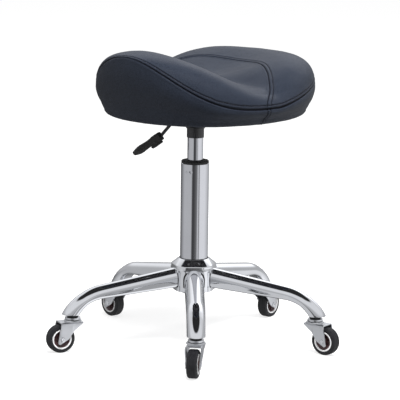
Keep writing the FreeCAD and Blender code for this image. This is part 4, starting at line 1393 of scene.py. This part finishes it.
    def leg(self, foot_z: float) -> Piece:
        """One leg along +X, from inside the hub to its flat foot.

        Args:
            foot_z: height of the foot.

        Returns:
            The leg.
        """
        start = math.radians(self.slope)
        bend_r, bend_z = self.bend_start(foot_z)
        foot_r, root_r, root_z = self.stem_circle + self.toe, self.body_flat, self.root_level(foot_z)
        waist_r = bend_r + self.bend * (math.sin(math.radians(self.waist_slope)) - math.sin(start))
        inside, last = root_r - self.root_depth, self.foot_slope + self.tail
        path = []
        for i in range(self.straight_steps):
            out = inside + (bend_r - inside) * i / self.straight_steps
            path.append((out, root_z - (out - root_r) * math.tan(start), self.slope))
        for i in range(self.bend_steps + 1):
            slope = self.slope + (last - self.slope) * i / self.bend_steps
            angle = math.radians(slope)
            out = bend_r + self.bend * (math.sin(angle) - math.sin(start))
            path.append((out, bend_z - self.bend * (math.cos(start) - math.cos(angle)), slope))
        rings = []
        for out, up, slope in path:
            taper = (out - root_r) / (waist_r - root_r)
            height = self.root_height + (self.waist_height - self.root_height) * taper
            if out > waist_r:
                share = min((out - waist_r) / (foot_r - waist_r), 1.0)
                height = self.waist_height + (self.foot_height - self.waist_height) * share
            taper = (out - root_r) / (foot_r - root_r)
            width = self.root_width + (self.foot_width - self.root_width) * taper
            rings.append(self.ring(out, up, slope, height, width))
        piece = Bench.loft("leg", rings)
        Bench.trim(piece, Vector((0, 0, foot_z * MM)), Vector((0, 0, -1)))
        Bench.soften(piece, 0.9, 40.0)
        return piece

    def pentagon(self, flat: float, corner: float, z: float) -> list[Vector]:
        """A ring with a flat towards each leg and round corners.

        Args:
            flat: distance of the flats from the axis.
            corner: radius of the corners.
            z: height of the ring.

        Returns:
            The ring's points.
        """
        half = math.pi / self.legs
        reach = (flat - corner) / math.cos(half)
        points = []
        for i in range(self.legs):
            heading = math.radians(self.turn) + 2 * half * i
            arc = [heading + 2 * half * k / 10 for k in range(11)]
            bend = [polar(reach, heading + half) + polar(corner, angle) for angle in arc]
            end = polar(reach, heading + 3 * half) + polar(corner, arc[-1])
            points += bend + [bend[-1].lerp(end, k / 4) for k in range(1, 4)]
        return [Vector((p.x * MM, p.y * MM, z * MM)) for p in points]

    def hub(self) -> Piece:
        """The hub: body, flare, rim and a cone that rounds off at the neck.

        Returns:
            The hub.
        """
        low, high = (corner.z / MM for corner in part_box("hub"))
        rim_top = high - self.cone_height
        rim = rim_top - self.rim_height
        body, edge, round_off, bend = self.body_flat, self.rim_flat, self.body_corner, self.hub_corner
        waist = body - self.body_waist
        levels = [
            (waist, round_off, low), (body + 0.1, round_off, low + 1.0), (body - 0.6, round_off, low + 9.0),
            (waist, round_off, low + 20.0), (body - 0.9, round_off, rim - 9.0),
            (body - 0.4, round_off, rim - 5.0), (body + 0.5, round_off - 4.0, rim - 2.0),
            (edge, bend, rim + 1.6), (edge, bend, rim_top - 1.0), (edge - 0.5, bend, rim_top),
            (self.neck, self.neck - 1.0, high),
        ]
        piece = Bench.loft("hub_body", [self.pentagon(*level) for level in levels])
        Bench.soften(piece, 0.7, 14.0)
        return piece

    def build(self) -> None:
        """Makes the hub and every leg."""
        seat_on(self.hub(), "base", "chrome", Look.CHROME, "hub")
        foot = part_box("leg_1")[0].z / MM
        # edge is the dark band of painted shade at the leg roots
        pattern, edge = self.leg(foot), self.root_shade_band(foot)
        for i in range(self.legs):
            number, turn = i + 1, turn_z(self.turn + 360.0 / self.legs * i)
            piece = Bench.duplicate(pattern, "leg_shell_%d" % number, turn)
            seat_on(piece, "base", "chrome", Look.CHROME, "leg_%d" % number)
            # black bands of painted shade where the legs meet the hub
            piece = Bench.duplicate(edge, "root_gasket_%d" % number, turn)
            seat_on(piece, "base", "black_plastic", Look.BLACK_PLASTIC)
        # dark ring of painted shade where the column enters the hub
        seat_on(self.hub_neck_shade_ring(), "base", "black_plastic", Look.BLACK_PLASTIC)
        for done in (pattern, edge):
            bpy.data.objects.remove(done)


@dataclass
class GasLift:
    """Column tube, guide bush and pressure cylinder. Sizes are in millimetres."""

    tube: float = 25.0
    tube_edge: float = 0.6
    bore: float = 23.0
    bore_edge: float = 0.5
    bush_depth: float = 12.0
    foot: float = 22.6
    foot_edge: float = 0.8
    foot_wall: float = 2.2
    floor: float = 4.0
    around: int = 176
    dimple_drop: float = 14.0
    dimple_turns: tuple = (-84.0, -63.0)
    dimple_depth: float = 1.3
    dimple_size: float = 2.8
    dimple_rows: int = 17
    row_height: float = 0.45

    def column(self) -> Piece:
        """The column tube, tapered inside the hub, with two dimples near its top.

        Returns:
            The tube.
        """
        low, high = (corner.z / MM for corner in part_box("column_tube"))
        hub_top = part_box("hub")[1].z / MM
        level = high - self.dimple_drop
        tube, bore, foot, inner = self.tube, self.bore, self.foot, self.foot - self.foot_wall
        middle = self.dimple_rows // 2
        inside, outside = self.bore_edge, self.tube_edge
        outline = [(bore, high - self.bush_depth), (bore, high - inside), (bore + inside, high)]
        outline += [(tube - outside, high), (tube, high - outside)]
        outline += [(tube, level + self.row_height * (middle - i)) for i in range(self.dimple_rows)]
        outline += [(tube, hub_top), (foot, low + self.foot_edge), (foot - self.foot_edge, low)]
        outline += [(inner, low), (inner, low + self.floor), (bore, hub_top)]
        piece = Bench.lathe("column_shell", outline, self.around)
        for turn in self.dimple_turns:
            spot = (polar(tube, math.radians(turn)) + Vector((0.0, 0.0, level))) * MM
            for vert in piece.data.vertices:
                gap = (vert.co - spot).length / (self.dimple_size * MM)
                if gap < 1.0:
                    inward = Vector((-vert.co.x, -vert.co.y, 0.0)).normalized()
                    vert.co += inward * self.dimple_depth * MM * (1 - gap * gap) ** 1.5
        Bench.smooth(piece, 25.0)
        return piece

    def build(self) -> None:
        """Makes the round pieces of the column."""
        seat_on(self.column(), "base", "chrome", Look.TUBE, "column_tube")
        soften_cad("bush_collar", "guide_bush", 0.35, "base", "black_plastic", Look.BLACK_PLASTIC)
        soften_cad("pressure_cylinder", "lift_cylinder", 0.3, "seat", "chrome", Look.TUBE)


@dataclass
class SeatMount:
    """Plate, socket, bracket and bolts under the seat. Edge radii are in millimetres."""

    socket_edge: float = 0.5
    plate_edge: float = 0.4
    bolt_edge: float = 0.3
    washer_edge: float = 0.2

    def build(self) -> None:
        """Softens the edges of the metal under the seat and paints it."""
        painted = [
            ("socket_collar", "cone_socket", self.socket_edge),
            ("mount_plate", "seat_plate", self.plate_edge),
            ("lever_ears", "lever_bracket", self.plate_edge),
        ]
        bright = [
            ("bolt_set", "seat_bolts", self.bolt_edge),
            ("washer_set", "bolt_washers", self.washer_edge),
            ("pivot_pin", "lever_pin", self.bolt_edge),
        ]
        for plan in painted:
            soften_cad(*plan, "seat", "black_paint", Look.BLACK_PAINT)
        for plan in bright:
            soften_cad(*plan, "seat", "steel", Look.STEEL)


@dataclass
class ReleaseLever:
    """Bent rod and moulded grip. Sizes are in millimetres, along the lever's own direction."""

    turn: float = -155.0
    arm: float = 26.0
    bend_out: float = 8.8
    dip: float = 50.0
    dip_length: float = 47.0
    grip_dip: float = 35.0
    grip_length: float = 62.5
    ring_points: int = 40
    crease: float = 24.0
    rod_edge: float = 0.25

    def frame_at(self, distance: float) -> tuple[Vector, Vector, Vector]:
        """The grip's own directions, before the lever's turn.

        Args:
            distance: from the grip's start.

        Returns:
            Centre, side and up.
        """
        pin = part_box("lever_pin")
        level = (pin[0].z + pin[1].z) / 2 / MM
        dip, slope = math.radians(self.dip), math.radians(self.grip_dip)
        x = self.arm + self.bend_out + self.dip_length * math.cos(dip) + distance * math.cos(slope)
        z = level - self.dip_length * math.sin(dip) - distance * math.sin(slope)
        return Vector((x, 0, z)) * MM, Vector((0, 1, 0)), Vector((math.sin(slope), 0, math.cos(slope)))

    def ring(self, distance: float, width: float, thick: float, power: float,
             drop: float = 0.0) -> list[Vector]:
        """A rounded section of the grip.

        Args:
            distance: along the grip.
            width: side to side.
            thick: top to bottom.
            power: squareness, 2 for an oval and less for a ridged leaf.
            drop: how far the section's centre lies below the axis.

        Returns:
            The ring's points.
        """
        centre, side, up = self.frame_at(distance)
        points = []
        for i in range(self.ring_points):
            angle = 2 * math.pi * i / self.ring_points
            c, s = math.cos(angle), math.sin(angle)
            size = (abs(c) ** power + abs(s) ** power) ** (-1 / power)
            rise = size * s * thick / 2 - drop
            points.append(centre + side * (size * c * width / 2 * MM) + up * (rise * MM))
        return points

    def moulding(self, name: str, sections: Sequence[tuple[float, ...]]) -> Piece:
        """A moulded shape through sections of the grip.

        Args:
            name: name of the piece.
            sections: what each ring takes.

        Returns:
            The shape.
        """
        piece = Bench.loft(name, [self.ring(*section) for section in sections])
        Bench.smooth(piece, self.crease)
        return piece

    def build(self) -> None:
        """Makes the rod and the grip."""
        end = self.grip_length
        square = [
            (0.0, 12.5, 12.5, 5.0), (0.5, 14.6, 14.6, 6.0), (1.3, 15.6, 15.6, 6.0), (12.0, 15.8, 15.8, 6.0),
            (17.0, 15.2, 15.0, 5.0), (21.0, 14.2, 13.6, 4.0), (27.0, 14.0, 13.0, 3.0),
        ]
        leaf = [
            (33.0, 15.6, 13.4, 2.2, 0.2), (39.0, 18.4, 14.4, 1.7, 0.3), (45.0, 20.4, 15.2, 1.5, 0.4),
            (50.0, 20.2, 14.8, 1.5, 0.4), (55.0, 17.8, 12.8, 1.6, 0.3), (end - 3.5, 14.6, 10.4, 1.8, 0.2),
            (end - 1.1, 12.4, 8.6, 2.2), (end - 0.3, 11.2, 7.6, 2.6), (end, 9.6, 6.2, 2.6),
        ]
        ledge = [
            (4.0, 6.0, 5.0, 5.0, 8.4), (4.6, 7.4, 6.2, 5.0, 8.6), (20.0, 7.4, 6.6, 5.0, 9.0),
            (25.5, 6.6, 5.2, 5.0, 9.2), (27.0, 5.2, 2.6, 4.0, 8.6),
        ]
        shapes = [self.moulding("grip_body", square + leaf), self.moulding("grip_tab", ledge)]
        piece = Bench.join("lever_handle", shapes)
        piece.data.transform(turn_z(self.turn))
        seat_on(piece, "lever", "black_plastic", Look.BLACK_PLASTIC, "lever_grip")
        soften_cad("bent_rod", "lever_rod", self.rod_edge, "lever", "black_paint", Look.BLACK_PAINT)


@dataclass
class Casters:
    """Five casters: stem, fork, rivet and wheel. Sizes are in millimetres."""

    count: int = LEGS
    first: float = FIRST_LEG
    stem_circle: float = STEM_CIRCLE
    turns: tuple = (-10.5, -19.5, -1.5, 3.5, 4.5)
    trail: float = 23.0
    wheel: float = 25.0
    width: float = 19.0
    shoulder: float = 4.6
    groove_at: float = 2.6
    groove_mouth: float = 0.55
    groove_floor: float = 0.25
    groove_depth: float = 0.45
    rim: float = 18.0
    rim_proud: float = 0.15
    core_gap: float = 2.95
    axle_bore: float = 3.05
    boss: float = 6.5
    boss_half: float = 10.7
    dish_from: float = 9.6
    dish_floor: float = 4.3
    dish_lip: float = 7.7
    ribs: int = 8
    rib_size: tuple = (7.6, 1.3, 2.4)
    rib_out: float = 10.6
    rib_up: float = 5.4
    rivet_half: float = 13.0
    rivet_head: float = 4.6
    rivet_shank: float = 3.0
    cheek: float = 10.5
    crown: float = 55.03
    spread: float = 0.14
    spread_from: float = 27.0
    spread_over: float = 20.0
    wing_step: float = 1.2
    wing_edge: float = 4.6
    wing_ramp: float = 2.4
    wing_top: float = 42.0
    wing_fade: float = 8.0
    cuts_along: tuple = (-6.0, -1.0, 1.4, 2.4, 3.4, 4.4, 5.4, 9.0, 16.0)
    cuts_up: tuple = (26.0, 30.0, 34.0, 38.0, 42.0, 45.0, 48.0, 50.0)
    stem: float = 7.05
    stem_edge: float = 0.4
    # painted shade ring round each stem's neck: flange, neck and heights
    shade_ring_flange: float = 10.1
    shade_ring_neck: float = 9.2
    shade_ring_low: float = 62.1
    shade_ring_step: float = 65.2
    shade_ring_high: float = 66.8

    def place(self, index: int) -> Matrix:
        """From a caster at the origin, trailing along +X, to its place under a leg.

        Args:
            index: number of the leg, from 0.

        Returns:
            The move.
        """
        heading = self.first + 360.0 / self.count * index
        out = turn_z(heading) @ Matrix.Translation((self.stem_circle * MM, 0, 0))
        return out @ turn_z(self.turns[index])

    def axle(self) -> Matrix:
        """From a wheel turned about Z to the axle of a caster at the origin."""
        upright = Matrix.Rotation(math.pi / 2, 4, "X")
        return Matrix.Translation((self.trail * MM, 0, self.wheel * MM)) @ upright

    @staticmethod
    def turned(name: str, half: Outline, steps: int, angle: float) -> Piece:
        """Spins an outline together with its mirror image in the wheel's middle plane.

        Args:
            name: name of the piece.
            half: outline of one half, in millimetres.
            steps: segments of the turn.
            angle: edges sharper than this stay sharp.

        Returns:
            The turned piece.
        """
        piece = Bench.lathe(name, half + [(r, -z) for r, z in reversed(half)], steps)
        Bench.smooth(piece, angle)
        return piece

    def tyre(self) -> Piece:
        """A rubber band with round shoulders and two fine grooves.

        Returns:
            The tyre, about Z.
        """
        side, outer, inner, radius = -self.width / 2, self.wheel, self.rim, self.shoulder
        flank, base, middle = outer - radius, outer - self.groove_depth, -self.groove_at
        mouth, floor = self.groove_mouth, self.groove_floor
        angles = [math.pi / 2 * i / 9 for i in range(1, 9)]
        outline = [(inner, side + 0.4), (inner + 0.5, side), (flank, side)]
        outline += [(flank + radius * math.sin(a), side + radius - radius * math.cos(a)) for a in angles]
        outline += [(outer, middle - mouth), (base, middle - floor)]
        outline += [(base, middle + floor), (outer, middle + mouth)]
        return self.turned("tyre", outline, 96, 32.0)

    def rim_ring(self) -> Piece:
        """The pale ring between tyre and core.

        Returns:
            The ring, about Z.
        """
        side, outer = -self.width / 2 - self.rim_proud, self.rim - 0.05
        outline = [(outer, side + 0.7), (outer - 0.5, side + 0.1), (outer - 1.4, side)]
        outline += [(outer - 2.3, side + 0.1), (outer - 2.8, side + 0.8)]
        return self.turned("rim", outline, 96, 40.0)

    def core(self) -> Piece:
        """A dished brown centre with a boss and radial ribs.

        Returns:
            The centre, about Z.
        """
        edge, boss = self.rim - self.core_gap, self.boss
        side, floor, lip = -self.boss_half, -self.dish_floor, -self.dish_lip
        outline = [(self.axle_bore, side), (boss - 0.4, side), (boss, side + 0.4), (boss + 0.3, floor - 0.3)]
        outline += [(self.dish_from, floor), (edge - 0.8, lip + 0.2), (edge, lip)]
        pieces = [self.turned("core", outline, 72, 40.0)]
        for face in (-1, 1):
            for i in range(self.ribs):
                rib = Bench.start("rib", lambda: bpy.ops.mesh.primitive_cube_add(size=1.0))
                bpy.ops.transform.resize(value=[size * MM for size in self.rib_size])
                bpy.ops.transform.translate(value=(self.rib_out * MM, 0, face * self.rib_up * MM))
                bpy.ops.object.mode_set(mode="OBJECT")
                Bench.soften(rib, 0.25, segments=2)
                rib.data.transform(turn_z(360.0 / self.ribs * i))
                pieces.append(rib)
        return Bench.join("core", pieces)

    def rivet(self) -> Piece:
        """The axle rivet with a domed, dimpled head at each end.

        Returns:
            The rivet, about Z.
        """
        half, head = self.rivet_half, self.rivet_head
        outline = [(0.0, half + 0.3), (1.3, half + 0.35), (1.9, half + 1.5), (2.8, half + 1.6)]
        outline += [(head - 0.7, half + 1.2), (head, half + 0.3), (head, half), (self.rivet_shank, half)]
        return self.turned("rivet", outline, 40, 50.0)

    def fork(self) -> Piece:
        """The pressed fork, spread at its crown, with the leading wing stepped in.

        Returns:
            The fork of a caster at the origin.
        """
        piece = Bench.copy_cad("fork", "fork_1")
        piece.data.transform(self.place(0).inverted())
        Bench.divide(piece, Vector((1, 0, 0)), self.cuts_along)
        Bench.divide(piece, Vector((0, 0, 1)), self.cuts_up)
        for vert in piece.data.vertices:
            x, y, z = (c / MM for c in vert.co)
            if z < self.crown:
                step = 0.0
                if abs(y) > self.cheek:
                    step = self.wing_step * ease((self.wing_edge - x) / self.wing_ramp)
                    step *= 1 - ease((z - self.wing_top) / self.wing_fade)
                spread = 1 + self.spread * ease((z - self.spread_from) / self.spread_over)
                vert.co.y = math.copysign(max(abs(y) * spread - step, 0.0), y) * MM
        Bench.soften(piece, 0.35)
        return piece

    def stem_shade_ring(self) -> Piece:
        """A dark ring round a stem's neck: painted shade for the shadowed neck between leg and fork.

        Returns:
            The ring of a caster at the origin.
        """
        inner, neck, flange = self.stem, self.shade_ring_neck, self.shade_ring_flange
        low, step, high = self.shade_ring_low, self.shade_ring_step, self.shade_ring_high
        outline = [(inner, low), (flange - 0.5, low), (flange, low + 0.5), (flange, step - 0.8), (neck, step)]
        outline += [(neck, high), (inner, high)]
        piece = Bench.lathe("stem_shade_ring", outline, 48)
        Bench.soften(piece, 0.25)
        return piece

    def build(self) -> None:
        """Makes one of each piece and copies it to every caster."""
        wheel_parts = [
            (self.tyre(), "tyre_band", "tyre", "tyre", Look.TYRE),
            (self.rim_ring(), "rim_ring", "wheel_rim", "rim", Look.RIM),
            (self.core(), "core_dish", "wheel_core", "core", Look.CORE),
        ]
        rivet, fork, stem_shade_ring = self.rivet(), self.fork(), self.stem_shade_ring()
        for i in range(self.count):
            number, place = i + 1, self.place(i)
            move = place @ self.axle()
            for pattern, name, node, slot, look in wheel_parts:
                piece = Bench.duplicate(pattern, "%s_%d" % (name, number), move)
                seat_on(piece, "wheel_%d" % number, slot, look, "%s_%d" % (node, number))
            piece = Bench.duplicate(rivet, "rivet_%d" % number, move)
            seat_on(piece, "caster_%d" % number, "zinc", Look.CHROME, "axle_%d" % number)
            piece = Bench.duplicate(fork, "fork_plate_%d" % number, place)
            seat_on(piece, "caster_%d" % number, "zinc", Look.ZINC, "fork_%d" % number)
            # dark ring of painted shade in the shadowed neck of each stem
            piece = Bench.duplicate(stem_shade_ring, "caster_neck_shade_%d" % number, place)
            seat_on(piece, "base", "black_plastic", Look.BLACK_PLASTIC)
        for pattern in [part[0] for part in wheel_parts] + [rivet, fork, stem_shade_ring]:
            bpy.data.objects.remove(pattern)
        soften_cad("stem_set", "caster_stems", self.stem_edge, "base", "zinc", Look.ZINC)


@dataclass
class HiddenWorks:
    """Inner pieces that keep their CAD shape."""

    steel: tuple = (
        "stem_sockets", "swivel_balls", "bearing_race_lower", "bearing_balls", "bearing_race_upper",
        "piston_rod", "piston", "rod_clip", "rod_gland", "tee_nuts",
    )

    def build(self) -> None:
        """Paints them."""
        looks = dict.fromkeys(self.steel, Look.STEEL)
        looks.update(bump_stop=Look.BUMPER, release_button=Look.BLACK_PLASTIC, seat_board=Look.BOARD)
        for node, look in looks.items():
            look.paint(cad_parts[node])
            LOG.info("%s keeps its shape", node)


@dataclass
class Studio:
    """Floor, world, lamps and camera. Sizes are in metres, angles in degrees."""

    azimuth: float = 45.0
    distance: float = 4.0
    height: float = 1.02
    aim: float = 0.26
    slide: float = 0.0096
    roll: float = 0.75
    lens: float = 206.1
    sensor: float = 36.0
    floor_size: float = 24.0
    floor_front: float = 1.1
    floor_drop: float = 0.0002
    floor_glow: float = 0.74
    lamp_aim: float = 0.3

    def floor(self) -> None:
        """A pale plane that stays white to the camera and keeps the soft shadow."""
        half = self.floor_size / 2
        slab = Bench.start("floor", lambda: bpy.ops.mesh.primitive_plane_add(size=self.floor_size))
        bpy.ops.transform.translate(value=(0.0, half - self.floor_front, 0.0))
        bpy.ops.mesh.subdivide(number_cuts=3)
        bpy.ops.object.mode_set(mode="OBJECT")
        slab.data.transform(turn_z(self.azimuth))
        slab.data.transform(Matrix.Translation((0, 0, -self.floor_drop)))
        material = bpy.data.materials.new("studio_floor")
        material.use_nodes = True
        graph = Graph(material.node_tree)
        path = "ShaderNodeLightPath"
        seen = graph.node(path, output="Is Camera Ray") + graph.node(path, output="Is Glossy Ray")
        paper = graph.node("ShaderNodeBsdfDiffuse", None, {"Color": rgb(0.5, 0.5, 0.5)})
        strength = seen.math("MINIMUM", 1.0) * self.floor_glow
        glow = graph.node("ShaderNodeEmission", None, {"Color": rgb(1, 1, 1), "Strength": strength})
        both = graph.node("ShaderNodeAddShader", None, {0: paper, 1: glow})
        graph.node("ShaderNodeOutputMaterial", None, {"Surface": both})
        slab.data.materials.append(material)
        slab.visible_glossy = False

    def world(self) -> None:
        """White surroundings with a dark camera side, which bright metal shows as dark bands."""
        world = bpy.data.worlds.new("studio")
        bpy.context.scene.world = world
        world.use_nodes = True
        graph = Graph(world.node_tree)
        way = graph.node("ShaderNodeTexCoord", output="Generated")
        x, y, z = (graph.node("ShaderNodeSeparateXYZ", None, {0: way}, axis) for axis in ("X", "Y", "Z"))
        heading = math.radians(self.azimuth)
        level = (1 - z * z).math("MAXIMUM", 0.0004).math("SQRT")
        towards = (x * math.sin(heading) - y * math.cos(heading)) / level
        side = (x * math.cos(heading) + y * math.sin(heading)) / level
        seen = graph.node("ShaderNodeLightPath", output="Is Camera Ray")
        shiny = graph.node("ShaderNodeLightPath", output="Is Glossy Ray")
        ground = 0.14 + towards.between(-1.0, 0.1) * 0.54 + side.between(-0.2, 0.9) * 0.44
        ground = ground - towards.between(0.88, 0.96) * 0.60
        stripe = side.between(0.48, 0.54) - side.between(0.62, 0.68)
        ground = ground - stripe * towards.between(0.2, 0.5) * 0.62
        wall = 0.52 + z.between(0.25, 0.5) * (0.25 + towards.between(-0.4, 0.3) * 0.08)
        far = towards.between(-0.5, -0.9) * z.between(0.22, 0.42)
        wall = wall + far * (0.30 + side.between(-0.3, 0.3) * 0.65)
        above = z.between(-0.06, 0.12)
        mirror = (ground * (1 - above) + wall * above) * (1 - z.between(0.79, 0.86) * 0.97)
        soft = 0.16 + z.between(-0.2, 1.0) * 0.38
        strength = seen + (1 - seen) * (shiny * mirror + (1 - shiny) * soft)
        tint = graph.mix(shiny, rgb(1.0, 1.0, 1.0), rgb(0.96, 0.97, 1.0))
        back = graph.node("ShaderNodeBackground", None, {"Color": tint, "Strength": strength})
        graph.node("ShaderNodeOutputWorld", None, {"Surface": back})

    def lamp(self, name: str, place: Vector, size: float, watts: float) -> None:
        """A square soft light that faces the stool.

        Args:
            name: name of the lamp.
            place: where it hangs.
            size: side of the square.
            watts: its power.
        """
        data = bpy.data.lights.new(name, "AREA")
        data.shape = "SQUARE"
        data.size = size
        data.energy = watts
        lamp = bpy.data.objects.new(name, data)
        lamp.location = place
        lamp.visible_glossy = False
        lamp.rotation_euler = (Vector((0, 0, self.lamp_aim)) - place).to_track_quat("-Z", "Y").to_euler()
        bpy.context.scene.collection.objects.link(lamp)

    def camera(self) -> None:
        """A long lens at the photograph's angle."""
        data = bpy.data.cameras.new("camera")
        data.sensor_width = self.sensor
        data.lens = self.lens
        data.clip_end = 100.0
        eye = bpy.data.objects.new("camera", data)
        heading = math.radians(self.azimuth)
        away = Vector((math.sin(heading), -math.cos(heading), 0.0))
        right = Vector((math.cos(heading), math.sin(heading), 0.0))
        eye.location = away * self.distance + right * self.slide + Vector((0, 0, self.height))
        gaze = (-away * self.distance + Vector((0, 0, self.aim - self.height))).to_track_quat("-Z", "Y")
        eye.rotation_euler = (gaze.to_matrix() @ Matrix.Rotation(math.radians(self.roll), 3, "Z")).to_euler()
        bpy.context.scene.collection.objects.link(eye)
        bpy.context.scene.camera = eye

    def build(self) -> None:
        """Sets the stage."""
        self.floor()
        self.world()
        self.lamp("top_box", Vector((0.85, -0.25, 2.5)), 1.4, 125.0)
        self.lamp("side_box", Vector((1.7, 0.9, 2.1)), 1.2, 5.0)
        self.lamp("fill_box", Vector((-1.2, -2.2, 1.3)), 1.2, 2.5)
        self.camera()
        bpy.context.scene.view_settings.view_transform = "Standard"


def main() -> None:
    """Builds every sub-assembly in order."""
    logging.basicConfig(level=logging.INFO, format="%(message)s")
    for part in (Studio, SaddleSeat, StarBase, GasLift, SeatMount, ReleaseLever, Casters, HiddenWorks):
        part().build()
        LOG.info("%s done", part.__name__)


if __name__ == "__main__":
    main()
